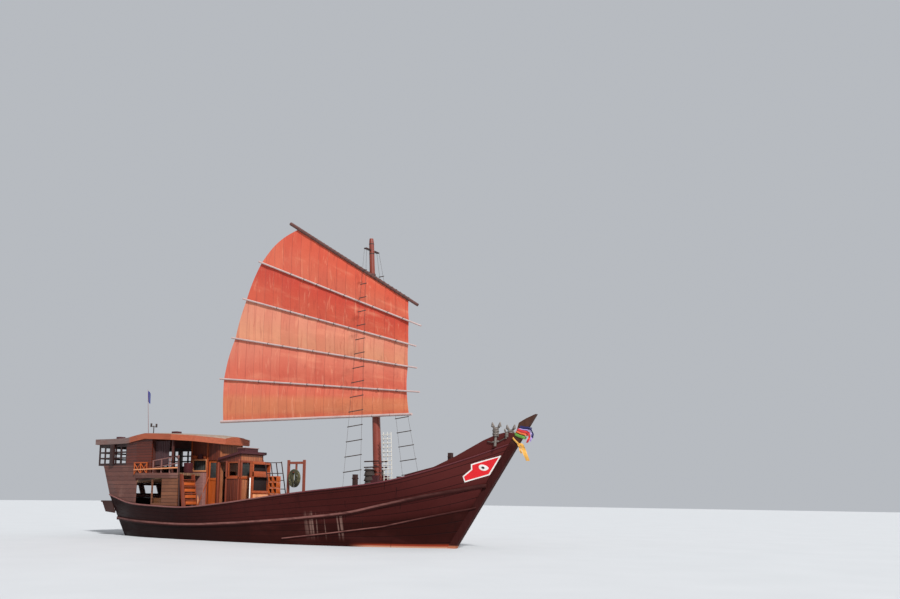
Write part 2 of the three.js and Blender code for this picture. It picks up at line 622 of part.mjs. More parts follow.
// Lattice windows that wrap round the stern gallery
const GALLERY = { low: 3340, high: 4240, aft: -10500, fore: -8210, frame: 70, thick: 50 };
function galleryShell(grow) {
  const rows = [GALLERY.aft, -9250, GALLERY.fore];
  const outline = [
    ...rows.map((x) => [x, -upperHalf(x) + 10 - grow]),
    ...rows.map((x) => [x, upperHalf(x) - 10 + grow]).reverse(),
  ];
  return outline;
}
function planPrism(outline, z0, z1) {
  const shape = new THREE.Shape(outline.map(([x, y]) => new THREE.Vector2(x, y)));
  return new THREE.ExtrudeGeometry(shape, { depth: z1 - z0, bevelEnabled: false })
    .translate(0, 0, z0);
}
const galleryInner = galleryShell(-GALLERY.thick).map(([x, y]) => [
  x === GALLERY.aft ? x + GALLERY.thick : x + 60 * (x === GALLERY.fore), y,
]);
const SIDE_PANES = 5;
const SIDE_PANE_ROWS = 3;
const AFT_PANES = 6;
function galleryPanes() {
  const tools = [];
  const paneLong = (GALLERY.fore - GALLERY.aft - GALLERY.frame) / SIDE_PANES;
  const paneHigh = (GALLERY.high - GALLERY.low - GALLERY.frame) / SIDE_PANE_ROWS;
  const aftHalf = upperHalf(GALLERY.aft) - GALLERY.frame;
  for (let row = 0; row < SIDE_PANE_ROWS; row += 1) {
    const z0 = GALLERY.low + GALLERY.frame + row * paneHigh;
    const z1 = z0 + paneHigh - GALLERY.frame;
    for (let i = 0; i < SIDE_PANES; i += 1) {
      const x0 = GALLERY.aft + GALLERY.frame + i * paneLong;
      tools.push(box(x0, x0 + paneLong - GALLERY.frame, -3000, 3000, z0, z1));
    }
    for (let i = 0; i < AFT_PANES; i += 1) {
      const width = (2 * aftHalf) / AFT_PANES;
      const y0 = -aftHalf + i * width;
      tools.push(box(GALLERY.aft - 100, GALLERY.aft + 200, y0, y0 + width - GALLERY.frame, z0, z1));
    }
  }
  return tools;
}
const galleryFloor = [GALLERY.aft, QUARTER.aftTop + 300];
piece('gallery_windows', underRoof(join(
  cut(
    planPrism(galleryShell(0), QUARTER.top + GAP, GALLERY.high + 500),
    planPrism(galleryInner, QUARTER.top - 50, GALLERY.high + 600),
    ...galleryPanes(),
  ),
  loft(galleryFloor.map((x) => {
    const [y, z] = [upperHalf(x) - 20, QUARTER.top + GAP];
    return [[x, -y, z], [x, y, z], [x, y, z + 40], [x, -y, z + 40]];
  })),
)), 'darkWood');

// Portal at the fore end of the after cabin
const portalHalf = upperHalf(CABIN.fore - 120) - POOP.wall - GAP;
const PORTAL = { x: CABIN.fore - 120, opening: 1500, head: 4150, thick: 60 };
piece('cabin_portal', underRoof(onPoop(cut(
  box(PORTAL.x, PORTAL.x + PORTAL.thick, -portalHalf, portalHalf, POOP.low, 5000),
  box(PORTAL.x - 50, PORTAL.x + 200, -PORTAL.opening, PORTAL.opening, 0, PORTAL.head),
))), 'varnish');

// Long cambered roof and the board round its edge
piece('roof', roofShape(...roofEnds, 0, 0), 'roofTop');

function roofBoardSide(way) {
  return loft(roofStations(0).map(({ x, y, z }) => [
    [x, way * (y - ROOF.boardThick), z - ROOF.board], [x, way * y, z - ROOF.board],
    [x, way * y, z], [x, way * (y - ROOF.boardThick), z],
  ]));
}
function roofBoardEnd(x, inwards) {
  const [y, z] = [roofHalf(x) - 10, roofEdge(x)];
  const outline = [
    [-y, z - ROOF.board], [y, z - ROOF.board],
    ...CAMBER_STEPS.map((t) => [-t * y, z + camberAt(t)]),
  ];
  return loft([x, x + inwards * ROOF.boardThick].map((at) => outline.map(([a, b]) => [at, a, b])));
}
piece('roof_board', join(
  roofBoardSide(-1), roofBoardSide(1), roofBoardEnd(ROOF_LINE[0][0], 1),
  roofBoardEnd(ROOF_LINE.at(-1)[0], -1),
), 'roofBoard');

// Beams under the roof's edges, each with its posts on the poop deck
const BEAM = { aft: -6300, fore: -3750, wide: 80, high: 110, inset: 260 };
const ROOF_POST = { size: 80, x: -5150 };
function roofUnder(x, y) {
  const t = y / (roofHalf(x) - roofInset);
  const steps = CAMBER_STEPS.map((s) => [s, camberAt(s)]);
  return roofEdge(x) - 60 + alongTable(steps, Math.abs(t));
}
for (const side of SIDES) {
  const rings = roofStations(0, BEAM.aft, BEAM.fore).map(({ x }) => {
    const outer = roofHalf(x) - BEAM.inset;
    const z = roofUnder(x, outer) + 30;
    return [
      [x, side.way * (outer - BEAM.wide), z - BEAM.high - 30],
      [x, side.way * outer, z - BEAM.high - 30],
      [x, side.way * outer, z], [x, side.way * (outer - BEAM.wide), z],
    ];
  });
  const outer = roofHalf(ROOF_POST.x) - BEAM.inset;
  const post = box(
    ROOF_POST.x - ROOF_POST.size / 2, ROOF_POST.x + ROOF_POST.size / 2,
    side.way * (outer - BEAM.wide), side.way * outer, poopTop(ROOF_POST.x) - 40,
    roofEdge(ROOF_POST.x) - 120,
  );
  piece(`roof_beam_${side.name}`, underRoof(onPoop(join(loft(rings), post))), 'varnish');
}

// Rails along the poop deck
const RAIL = { aft: -6290, fore: -4570, inset: 40, rise: 760, middle: 440, size: 50, posts: 4 };
for (const side of SIDES) {
  const parts = [];
  const railAt = (x, up) => [x, side.way * (upperHalf(x) - RAIL.inset), poopTop(x) + up];
  for (const up of [RAIL.rise, RAIL.middle]) {
    parts.push(rod(railAt(RAIL.aft, up), railAt(RAIL.fore, up), RAIL.size / 2, 8));
  }
  for (let i = 0; i < RAIL.posts; i += 1) {
    const x = lerp(RAIL.aft + 30, RAIL.fore - 30, i / (RAIL.posts - 1));
    const [, y] = railAt(x, 0);
    parts.push(box(x - 22, x + 22, y - 22, y + 22, poopTop(x) - 30, poopTop(x) + RAIL.rise));
  }
  piece(`poop_rail_${side.name}`, onPoop(join(...parts)), 'varnish');
}

// Planked panels and posts below the poop deck's open sides
const LOWER_SIDE = { panelAft: -5560, panelFore: -4540, post: -6170, thick: 50, sill: 90, half: 2300 };
for (const side of SIDES) {
  const [y0, y1] = [side.way * (LOWER_SIDE.half - LOWER_SIDE.thick), side.way * LOWER_SIDE.half];
  const base = capTopAt(LOWER_SIDE.panelFore) - 60;
  const { post, panelAft, panelFore, sill } = LOWER_SIDE;
  piece(`lower_side_${side.name}`, cut(onCap(join(
    box(panelAft, panelFore, y0, y1, base, POOP.high),
    box(post, panelFore, y0, y1, base, base + sill + 80),
    box(post - 70, post, y0, y1, base, POOP.high),
  )), underPoopBlock), 'varnish');
}

// Stair from the poop deck down to the starboard side deck
function stairParts() {
  const top = poopTop(POOP.fore);
  const foot = deckTopAt(STAIR.footX) - 30;
  const parts = [];
  const run = (STAIR.footX - STAIR.topX) / STAIR.treads;
  const riser = (top - foot) / (STAIR.treads + 1);
  for (let i = 0; i < STAIR.treads; i += 1) {
    const x = STAIR.topX + i * run;
    const z = top - (i + 1) * riser;
    parts.push(box(x + 20, x + 250, -STAIR.outer + 10, -STAIR.inner - 10, z - 36, z));
  }
  const string = [
    [STAIR.topX, top - 60], [STAIR.topX, top - 360], [STAIR.footX - 40, foot],
    [STAIR.footX + 170, foot], [STAIR.footX + 170, foot + 60], [STAIR.topX + 170, top - 60],
  ];
  for (const y of [-STAIR.outer, -STAIR.inner - 45]) parts.push(sideShape(string, y, y + 45));
  return join(...parts);
}
piece('stair', onDeck(stairParts()), 'varnish');

// Middle house under the roof: two side walls and a front wall
const HOUSE_WINDOW = { x0: -5230, x1: -4420, z0: 3090, z1: 3540 };
const HOUSE_HATCHWAY = { x0: -5230, x1: -4420, z0: 1250, z1: 2450 };
const DOORWAY = { x0: -4270, x1: -3740, sill: 1450, head: 3560 };
function houseSide(way) {
  const inner = way * (HOUSE.half - HOUSE.wall);
  const outer = way * HOUSE.half;
  const sheet = box(HOUSE.aft, HOUSE.fore, inner, outer, 700, 5000);
  const openings = [HOUSE_WINDOW, HOUSE_HATCHWAY].map((o) => box(
    o.x0, o.x1, way * 600, way * 900, o.z0, o.z1,
  ));
  if (way < 0) {
    openings.push(box(DOORWAY.x0, DOORWAY.x1, way * 600, way * 900, DOORWAY.sill, DOORWAY.head));
  }
  return underRoof(onDeck(cut(sheet, ...openings)));
}
piece('house_side_port', houseSide(1), 'varnish');
// The starboard side has a door inside, on a pivot bar between two brackets
const DOOR = {
  thick: 36, pivotX: DOORWAY.x1 + 30, pivotY: -HOUSE.half + HOUSE.wall + 34, radius: 18,
  overlap: 40,
};
const doorBrackets = [DOORWAY.sill - 40, DOORWAY.head].map((z) => box(
  DOOR.pivotX - 25, DOOR.pivotX + 25, -HOUSE.half + 10, DOOR.pivotY + 25, z, z + 40,
));
piece('house_side_starboard', join(houseSide(-1), ...doorBrackets), 'varnish');
const doorZ = [DOORWAY.sill + GAP, DOORWAY.head - GAP];
piece('side_door', join(
  rod([DOOR.pivotX, DOOR.pivotY, doorZ[0]], [DOOR.pivotX, DOOR.pivotY, doorZ[1]], DOOR.radius, 12),
  box(DOORWAY.x0 - DOOR.overlap, DOOR.pivotX, DOOR.pivotY - DOOR.thick / 2,
    DOOR.pivotY + DOOR.thick / 2, doorZ[0] + 15, doorZ[1] - 15),
), 'varnish');
const HOUSE_FRONT = { x: HOUSE.fore - 60, thick: 50, door: 400, head: 3050 };
const frontHalf = HOUSE.half - HOUSE.wall - GAP;
piece('house_front', underRoof(onDeck(cut(
  box(HOUSE_FRONT.x, HOUSE_FRONT.x + HOUSE_FRONT.thick, -frontHalf, frontHalf, 700, 5000),
  box(HOUSE_FRONT.x - 50, HOUSE_FRONT.x + 100, -HOUSE_FRONT.door, HOUSE_FRONT.door,
    deckTopAt(HOUSE_FRONT.x) + 120, HOUSE_FRONT.head),
))), 'varnish');

// Wheelhouse
const WH_WINDOW = { x0: -2950, x1: -2380, z0: 2840, z1: 3420 };
const WH_SIDE_DOOR = { x0: -3540, x1: -3180, sill: 1400, head: 3460 };
const WH_ROOF = { aft: -3590, fore: -2180, half: 840, rise: 0.21, thick: 110 };
const WH_LIGHT = { x0: -2780, x1: -2340, half: 430, top: 4110 };
const whRoofZ = (x) => WHEELHOUSE.top + 40 + WH_ROOF.rise * (x - WHEELHOUSE.aft);
for (const side of SIDES) {
  const outline = [
    [WHEELHOUSE.aft, 700], [WHEELHOUSE.fore, 700],
    [WHEELHOUSE.fore, whRoofZ(WHEELHOUSE.fore) - GAP], [WHEELHOUSE.aft, whRoofZ(WHEELHOUSE.aft) - GAP],
  ];
  piece(`wheelhouse_side_${side.name}`, onDeck(cut(
    sideShape(outline, side.way * (HOUSE.half - HOUSE.wall), side.way * HOUSE.half),
    box(WH_WINDOW.x0, WH_WINDOW.x1, side.way * 600, side.way * 900, WH_WINDOW.z0, WH_WINDOW.z1),
    box(WH_SIDE_DOOR.x0, WH_SIDE_DOOR.x1, side.way * 600, side.way * 900, WH_SIDE_DOOR.sill,
      WH_SIDE_DOOR.head),
  )), 'varnish');
}
const WHEEL = { x: -2680, z: 2330, radius: 330, rim: 22, shaft: 24, spokes: 6 };
const WH_FRONT = { x: WHEELHOUSE.fore - 56, thick: 50, panes: 2 };
const frontPane = (2 * frontHalf - 80) / WH_FRONT.panes;
piece('wheelhouse_front', onDeck(cut(
  join(
    box(WH_FRONT.x, WH_FRONT.x + WH_FRONT.thick, -frontHalf, frontHalf, 900,
      whRoofZ(WH_FRONT.x) - GAP),
    rod([WH_FRONT.x + 10, 0, WHEEL.z], [WH_FRONT.x - 120, 0, WHEEL.z], 70, 12),
  ),
  ...Array.from({ length: WH_FRONT.panes }, (_, i) => box(
    WH_FRONT.x - 50, WH_FRONT.x + 100, -frontHalf + 80 + i * frontPane,
    -frontHalf + i * frontPane + frontPane, WH_WINDOW.z0, WH_WINDOW.z1,
  )),
  rod([WH_FRONT.x - 130, 0, WHEEL.z], [WH_FRONT.x - 20, 0, WHEEL.z], boreRadius(WHEEL.shaft, 12),
    12, boreRadius(WHEEL.shaft, 12), 0.5),
)), 'varnish');
piece('wheelhouse_roof', join(
  loft([WH_ROOF.aft, WH_ROOF.fore].map((x) => [
    [x, -WH_ROOF.half, whRoofZ(x)], [x, WH_ROOF.half, whRoofZ(x)],
    [x, WH_ROOF.half, whRoofZ(x) + WH_ROOF.thick], [x, -WH_ROOF.half, whRoofZ(x) + WH_ROOF.thick],
  ])),
  box(WH_LIGHT.x0, WH_LIGHT.x1, -WH_LIGHT.half, WH_LIGHT.half, whRoofZ(WH_LIGHT.x1) + 30,
    WH_LIGHT.top),
), 'darkWood');

// Steering wheel on its shaft
function wheelShape() {
  const rim = new THREE.TorusGeometry(WHEEL.radius - 60, WHEEL.rim, 8, 24).rotateY(Math.PI / 2);
  const parts = [rim.translate(WHEEL.x, 0, WHEEL.z)];
  for (let i = 0; i < WHEEL.spokes; i += 1) {
    const a = (i * 2 * Math.PI) / WHEEL.spokes;
    const tip = [WHEEL.x, WHEEL.radius * Math.sin(a), WHEEL.z + WHEEL.radius * Math.cos(a)];
    parts.push(rod([WHEEL.x, 0, WHEEL.z], tip, 14, 6));
  }
  parts.push(rod([WHEEL.x - 45, 0, WHEEL.z], [WHEEL.x + 45, 0, WHEEL.z], 60, 12));
  parts.push(rod([WHEEL.x, 0, WHEEL.z], [WH_FRONT.x - 25, 0, WHEEL.z], WHEEL.shaft, 12));
  return join(...parts);
}
piece('steering_wheel', wheelShape(), 'varnish');

// Open cabinet ahead of the wheelhouse, with its shelves facing the bow
const CABINET = { x0: -1860, x1: -1700, half: 570, top: 3490, frame: 60 };
const cabinetFoot = deckTopAt(CABINET.x1);
const cabinetInner = CABINET.half - CABINET.frame;
piece('cabinet', onDeck(cut(
  box(CABINET.x0, CABINET.x1, -CABINET.half, CABINET.half, cabinetFoot - 150, CABINET.top),
  box(CABINET.x0 + 30, CABINET.x1 + 10, -cabinetInner, cabinetInner, 3050, 3360),
  box(CABINET.x0 + 30, CABINET.x1 + 10, -cabinetInner, cabinetInner, 2180, 2780),
)), 'varnish');

// Slatted rack that leans against nothing, on its own feet
const RACK = { x0: 60, x1: 990, y: -1200, lean: 0.21, bar: 45, top: 3420, drop: 110 };
function rackParts() {
  const foot = deckTopAt(RACK.x1);
  const bar = (a, b) => rod(a, b, RACK.bar / 2, 4, RACK.bar / 2, 0.5);
  const at = (u, z) => [RACK.x0 + u * (RACK.x1 - RACK.x0) - RACK.lean * (z - foot), RACK.y, z];
  const parts = [0, 0.34, 0.67, 1].map((u) => bar(at(u, foot), at(u, RACK.top - RACK.drop * (1 - u))));
  for (const z of [foot + 320, 2250, 2620, 2920, RACK.top - 40]) parts.push(bar(at(0, z), at(1, z)));
  for (const u of [0, 1]) {
    const [x] = at(u, foot);
    parts.push(box(x - 30, x + 30, RACK.y - 180, RACK.y + 180, deckTopAt(x) - 30, foot + 50));
  }
  return join(...parts);
}
piece('rack', onDeck(rackParts()), 'darkWood');

// Rope gallows with the coil that hangs in it
const GALLOWS = { x0: 1195, x1: 2045, y: -1450, top: 3470, post: 90, bar: 3400 };
const COIL = { x: 1620, z: 2700, tall: 330, wide: 260, bulk: 60, pegZ: 2947.7 };
const gallowsFoot = deckTopAt(GALLOWS.x1);
piece('rope_stand', onDeck(join(
  ...[GALLOWS.x0, GALLOWS.x1].map((x) => box(
    x - GALLOWS.post / 2, x + GALLOWS.post / 2, GALLOWS.y - 45, GALLOWS.y + 45,
    gallowsFoot - 160, GALLOWS.top,
  )),
  box(GALLOWS.x0, GALLOWS.x1, GALLOWS.y - 40, GALLOWS.y + 40, GALLOWS.bar - 100, GALLOWS.bar),
  box(GALLOWS.x0, GALLOWS.x1, GALLOWS.y - 40, GALLOWS.y + 40, gallowsFoot + 250, gallowsFoot + 330),
  box(COIL.x - 25, COIL.x + 25, GALLOWS.y - 40, GALLOWS.y + 40, COIL.pegZ - 25, GALLOWS.bar - 50),
  rod([COIL.x, GALLOWS.y, COIL.pegZ], [COIL.x, GALLOWS.y - 190, COIL.pegZ], 22, 8),
)), 'varnish');
function coilShape() {
  const ring = new THREE.TorusGeometry(1, 0.2, 8, 20);
  const p = ring.attributes.position;
  for (let i = 0; i < p.count; i += 1) {
    const angle = Math.atan2(p.getY(i), p.getX(i));
    const radial = Math.hypot(p.getX(i), p.getY(i)) - 1;
    const grow = (radial / 0.2) * COIL.bulk;
    p.setXYZ(
      i, COIL.x + (COIL.wide + grow) * Math.cos(angle),
      GALLOWS.y - 115 + (p.getZ(i) / 0.2) * COIL.bulk,
      COIL.z + (COIL.tall + grow) * Math.sin(angle),
    );
  }
  return solid(faceOutwards(ring));
}
piece('rope_coil', coilShape(), 'rope');

// Mast and the timbers that hold its foot
const mastAt = (z) => [MAST.x + MAST.rake * (z - MAST.deckZ), 0, z];
const mastLength = MAST.top - MAST.deckZ;
const mastRadius = (z) => lerp(MAST.footRadius, MAST.topRadius, (z - MAST.deckZ) / mastLength);
const MAST_SIDES = 16;
piece('mast', onDeck(rod(
  mastAt(MAST.deckZ), mastAt(MAST.top), MAST.footRadius, MAST_SIDES, MAST.topRadius,
)), 'mastWood');
const PARTNERS = { high: 1050, half: 420, thick: 130, long: 520 };
const partnersX = mastAt(2200)[0];
piece('mast_partners', onDeck(cut(
  join(
    ...SIDES.map((side) => box(
      partnersX - PARTNERS.long / 2, partnersX + PARTNERS.long / 2, side.way * PARTNERS.half,
      side.way * (PARTNERS.half - PARTNERS.thick), deckTopAt(partnersX) - 60,
      deckTopAt(partnersX) + PARTNERS.high,
    )),
    box(partnersX - 330, partnersX + 330, -PARTNERS.half - 120, PARTNERS.half + 120,
      deckTopAt(partnersX) - 60, deckTopAt(partnersX) + 200),
    box(partnersX - 300, partnersX + 300, -PARTNERS.half - 60, PARTNERS.half + 60,
      deckTopAt(partnersX) + 720, deckTopAt(partnersX) + 860),
  ),
  rod(mastAt(MAST.deckZ), mastAt(MAST.top), MAST.footRadius + GAP, MAST_SIDES,
    MAST.topRadius + GAP),
)), 'mastWood');

// Windlass ahead of the mast: two cheeks on a sole, and the barrel between them
const WINDLASS = { x: 6050, up: 480, radius: 130, half: 430, cheek: 110, shaft: 42 };
const windlassDeck = deckTopAt(WINDLASS.x - 350);
const windlassZ = windlassDeck + WINDLASS.up;
const windlassPin = (y0, y1, radius, turned) => rod(
  [WINDLASS.x, y0, windlassZ], [WINDLASS.x, y1, windlassZ], radius, 16, radius, turned,
);
piece('windlass_cheeks', onDeck(cut(
  join(
    ...SIDES.map((side) => box(
      WINDLASS.x - 140, WINDLASS.x + 140, side.way * WINDLASS.half,
      side.way * (WINDLASS.half + WINDLASS.cheek), windlassDeck - 60, windlassZ + 240,
    )),
    box(WINDLASS.x - 200, WINDLASS.x + 60, -WINDLASS.half - WINDLASS.cheek,
      WINDLASS.half + WINDLASS.cheek, windlassDeck - 60, windlassDeck + 130),
  ),
  windlassPin(-WINDLASS.half - 60, WINDLASS.half + 60, boreRadius(WINDLASS.shaft, 16), 0.5),
)), 'darkWood');
piece('windlass_barrel', join(
  rod([WINDLASS.x, -WINDLASS.half + 8, windlassZ], [WINDLASS.x, WINDLASS.half - 8, windlassZ],
    WINDLASS.radius, 16),
  windlassPin(-WINDLASS.half - 50, WINDLASS.half + 50, WINDLASS.shaft, 0),
), 'mastWood');

// Bollards: a post with a cross pin, one on each side of the mast and one at the bow
const BOLLARDS = [
  { name: 'bollard_starboard', x: 4790, y: -1550, high: 1060 },
  { name: 'bollard_port', x: 4790, y: 1550, high: 1060 },
  { name: 'bow_bitt', x: 8300, y: 0, high: 1240 },
];
for (const b of BOLLARDS) {
  const foot = deckTopAt(b.x);
  piece(b.name, onDeck(join(
    box(b.x - 80, b.x + 80, b.y - 80, b.y + 80, foot - 60, foot + b.high),
    rod([b.x, b.y - 190, foot + b.high - 160], [b.x, b.y + 190, foot + b.high - 160], 28, 8),
  )), 'mastWood');
}

// Sail: yard, battens and boom lie beside the mast and turn round it together
const sparPoint = ([along, z], y = SAIL.y) => [SAIL.origin + along, y, z];
function atMast(row) {
  const [a, b] = [sparPoint(row.aft), sparPoint(row.fore)];
  let t = 0.5;
  for (let i = 0; i < 20; i += 1) {
    t = (mastAt(lerp(a[2], b[2], t))[0] - a[0]) / (b[0] - a[0]);
  }
  return lerp(a[2], b[2], t);
}
// A ring round the mast, square to it, with its inner flats clear of the mast by a running gap
const PARREL = { sides: 16, thick: 26, high: 60, arm: 50 };
function parrel(z) {
  const up = new THREE.Vector3(MAST.rake, 0, 1).normalize();
  const [x0, , z0] = mastAt(z);
  const end = (t) => [x0 + up.x * t, 0, z0 + up.z * t];
  const bore = boreRadius(mastRadius(z - PARREL.high), PARREL.sides);
  const outer = rod(end(-PARREL.high / 2), end(PARREL.high / 2), bore + PARREL.thick, PARREL.sides);
  const arm = box(x0 - PARREL.arm, x0 + PARREL.arm, SAIL.y - 20, -bore + 8, z - 22, z + 22);
  const inner = rod(end(-PARREL.high), end(PARREL.high), bore, PARREL.sides, bore, 0.5);
  return cut(join(outer, arm), inner);
}
const battenY = SAIL.y - SAIL.cloth / 2 - GAP - SAIL.battenRadius * Math.cos(Math.PI / 8);
for (const row of SPARS) {
  const carried = row.name === 'yard' || row.name === 'boom';
  const y = carried ? SAIL.y : battenY;
  const flats = rod(sparPoint(row.aft, y), sparPoint(row.fore, y), row.radius, 8, row.radius * 0.8,
    0.5);
  piece(row.name, carried ? join(flats, parrel(atMast(row))) : flats, 'spar');
}
function sailOutline() {
  const aft = SPARS.map((row) => row.clothAft);
  const fore = SPARS.map((row) => row.clothFore);
  return [...aft, ...fore.reverse()].map(([along, z]) => [SAIL.origin + along, z]);
}
const sparsGrown = SPARS.filter((row) => !row.name.startsWith('batten')).map((row) => rod(
  sparPoint(row.aft), sparPoint(row.fore), row.radius + GAP, 8, row.radius * 0.8 + GAP, 0.5,
));
piece('sail', cut(
  sideShape(sailOutline(), SAIL.y - SAIL.cloth / 2, SAIL.y + SAIL.cloth / 2), ...sparsGrown,
), 'canvas');

// Ladder shrouds from the cap rail to the masthead
const LADDER = {
  aft: 4650, fore: 5500, foot: 2170, headZ: 12500, headSpread: 55, headOut: 450, rope: 18,
  rungs: 15, rungRadius: 20, arm: 25,
};
for (const side of SIDES) {
  const headX = mastAt(LADDER.headZ)[0];
  const rail = (x, end) => {
    const foot = [x, side.way * LADDER.foot, capTopAt(x) - 30];
    const head = [headX + end * LADDER.headSpread, side.way * LADDER.headOut, LADDER.headZ];
    return (t) => foot.map((v, i) => lerp(v, head[i], t));
  };
  const rails = [rail(LADDER.aft, -1), rail(LADDER.fore, 1)];
  const parts = rails.map((at) => rod(at(0), at(1), LADDER.rope, 4));
  for (let i = 1; i <= LADDER.rungs; i += 1) {
    const t = (i / (LADDER.rungs + 1)) * 0.96;
    const [a, b] = rails.map((at) => at(t));
    const beyond = 45 / (b[0] - a[0]);
    const tip = (u) => a.map((v, k) => lerp(v, b[k], u));
    parts.push(rod(tip(-beyond), tip(1 + beyond), LADDER.rungRadius, 4));
  }
  const { headSpread, headZ, headOut, arm } = LADDER;
  const onMast = mastRadius(headZ - arm) + GAP;
  parts.push(box(
    headX - headSpread - 20, headX + headSpread + 20,
    side.way * onMast, side.way * (headOut + 20), headZ - arm, headZ + arm,
  ));
  piece(`ladder_${side.name}`, onCap(join(...parts)), 'rope');
}

// Rudder on its stock, between the hull and the heel bar
piece('rudder', join(
  sideShape([
    [RUDDER.x + 60, RUDDER.bottom], [RUDDER.x - RUDDER.chord, RUDDER.bottom + 120],
    [RUDDER.x - RUDDER.chord + 60, RUDDER.top - 120], [RUDDER.x + 60, RUDDER.top],
  ], -32, 32),
  rod([RUDDER.x, 0, RUDDER.bottom - 20], [RUDDER.x, 0, 180], RUDDER.stock, 16),
  rod([RUDDER.x, 0, KEEL.heelTop - RUDDER_PIN.depth + 10], [RUDDER.x, 0, RUDDER.bottom],
    RUDDER_PIN.radius, 16),
), 'keelPaint');

// Propeller with three blades on its shaft
function propeller() {
  const { x, z, radius } = PROPELLER;
  const parts = [
    rod([x - 110, 0, z], [x + 110, 0, z], 85, 12),
    rod([x, 0, z], [KEEL.aft + SHAFT.length, 0, z], SHAFT.radius, 16),
  ];
  for (let i = 0; i < 3; i += 1) {
    const blade = new THREE.Shape();
    blade.absellipse(0, radius * 0.58, radius * 0.3, radius * 0.42, 0, 2 * Math.PI, false, 0);
    const g = new THREE.ExtrudeGeometry(blade, { depth: 24, bevelEnabled: false, curveSegments: 6 });
    g.translate(0, 0, -12).rotateY(Math.PI / 2 - 0.45).rotateX((i * 2 * Math.PI) / 3);
    parts.push(g.translate(x, 0, z));
  }
  return join(...parts);
}
piece('propeller', propeller(), 'bronze');

// Boarding platform below the stern panel
const PLATFORM = { z0: 1060, z1: 1640, half: 1880, deep: 820, bar: 70 };
const sternAt = (z) => STATIONS[0].x + STATIONS[0].rake * z;
function platformShape() {
  const [z0, z1] = [PLATFORM.z0, PLATFORM.z1];
  const top = z1 - PLATFORM.bar;
  const parts = [
    box(sternAt(top) - PLATFORM.deep, sternAt(z1) + 60, -PLATFORM.half, PLATFORM.half, top, z1),
  ];
  for (const u of [-1, -0.34, 0.34, 1]) {
    const y = u * (PLATFORM.half - 40);
    parts.push(sideShape([
      [sternAt(z0) + 30, z0], [sternAt(z1) + 30, z1], [sternAt(z1) - PLATFORM.deep + 80, z1],
      [sternAt(z0) - PLATFORM.deep + 180, z0 + 60],
    ], y - 35, y + 35));
  }
  for (const z of [z0 + 80, z0 + 230, z0 + 380]) {
    const x = sternAt(z) - PLATFORM.deep + 240;
    parts.push(box(x, x + 60, -PLATFORM.half, PLATFORM.half, z, z + 80));
  }
  return cut(join(...parts), loft([-3000, 3000].map((y) => [
    [sternAt(0) - GAP, y, 0], [sternAt(2200) - GAP, y, 2200], [sternAt(2200) + 900, y, 2200],
    [sternAt(0) + 900, y, 0],
  ])));
}
piece('stern_platform', platformShape(), 'darkWood');


export default ship;
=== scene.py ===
"""The looks of a wooden motor junk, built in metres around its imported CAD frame.

+X runs to the bow, +Y to port and +Z up. The waterline is z = 0, and the floor lies there.
"""

import math

import bmesh
import bpy
from mathutils import Matrix, Vector


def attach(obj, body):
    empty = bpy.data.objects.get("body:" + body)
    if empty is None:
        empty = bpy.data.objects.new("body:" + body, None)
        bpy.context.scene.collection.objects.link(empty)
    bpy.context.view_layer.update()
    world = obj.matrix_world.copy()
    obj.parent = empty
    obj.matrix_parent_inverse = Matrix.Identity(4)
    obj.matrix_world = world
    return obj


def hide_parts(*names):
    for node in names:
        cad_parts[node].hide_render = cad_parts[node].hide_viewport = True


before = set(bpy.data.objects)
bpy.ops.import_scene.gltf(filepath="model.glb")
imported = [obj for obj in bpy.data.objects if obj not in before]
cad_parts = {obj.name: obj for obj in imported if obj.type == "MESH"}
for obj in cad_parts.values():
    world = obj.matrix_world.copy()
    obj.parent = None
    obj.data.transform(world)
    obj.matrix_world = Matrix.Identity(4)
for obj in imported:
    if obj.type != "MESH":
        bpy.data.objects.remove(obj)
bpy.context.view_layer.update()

# Camera, low over the water and tilted a little up, its picture shifted to frame the boat low down
CAMERA_AT = (26.683, -30.452, 1.950)
CAMERA_AZIMUTH = 31.194  # degrees that the view turns from square on towards the stern
CAMERA_PITCH = 6.283
CAMERA_ROLL = 0.716
SENSOR = 36.0  # mm across the picture
PICTURE_PX = 900
FOCAL_PX = 896.884
SHIFT_PX = 100.0

# Hull stations: x at the waterline, lean, keel height, half-breadth at the waterline and at the
# sheer, sheer height, bilge fullness, wale height
STATION_COLUMNS = ("x", "rake", "keel", "waterline", "sheer", "sheer_z", "fullness", "wale")
STATIONS = (
    (-8.85, -0.35, -0.25, 1.50, 1.95, 1.890, 0.95, 0.82),
    (-7.40, -0.21, -0.62, 1.95, 2.28, 1.525, 0.90, 0.73),
    (-5.85, -0.08, -0.98, 2.20, 2.43, 1.420, 0.85, 0.68),
    (-3.77, 0.00, -1.30, 2.35, 2.56, 1.390, 0.80, 0.66),
    (-1.38, 0.00, -1.48, 2.40, 2.62, 1.595, 0.75, 0.76),
    (0.90, 0.00, -1.50, 2.33, 2.60, 1.873, 0.75, 0.92),
    (2.97, 0.05, -1.48, 2.08, 2.48, 2.120, 0.85, 1.11),
    (4.72, 0.12, -1.44, 1.70, 2.27, 2.320, 1.00, 1.33),
    (6.04, 0.25, -1.39, 1.23, 1.96, 2.560, 1.15, 1.68),
    (7.15, 0.42, -1.33, 0.76, 1.48, 3.010, 1.30, 2.03),
    (7.92, 0.57, -1.24, 0.35, 0.82, 3.535, 1.40, 2.28),
    (8.25, 0.675, -1.15, 0.095, 0.14, 3.980, 1.40, 2.44),
)
HULL_AFT = STATIONS[0][0]
HULL_FORE = STATIONS[-1][0]
DECK_AFT = -8.45
DECK_FORE = 7.70
DECK_DROP = 0.56  # from the sheer down to the deck
HIGH_SHEER = 2.3  # above it the deck drops more
DROP_MORE = 0.06
BULWARK = 0.08
KEEL_HALF = 0.09
CAP_HIGH = 0.06
CAP_WIDE = 0.20
PLANKS_ABOVE = 9  # planks between the waterline and the sheer
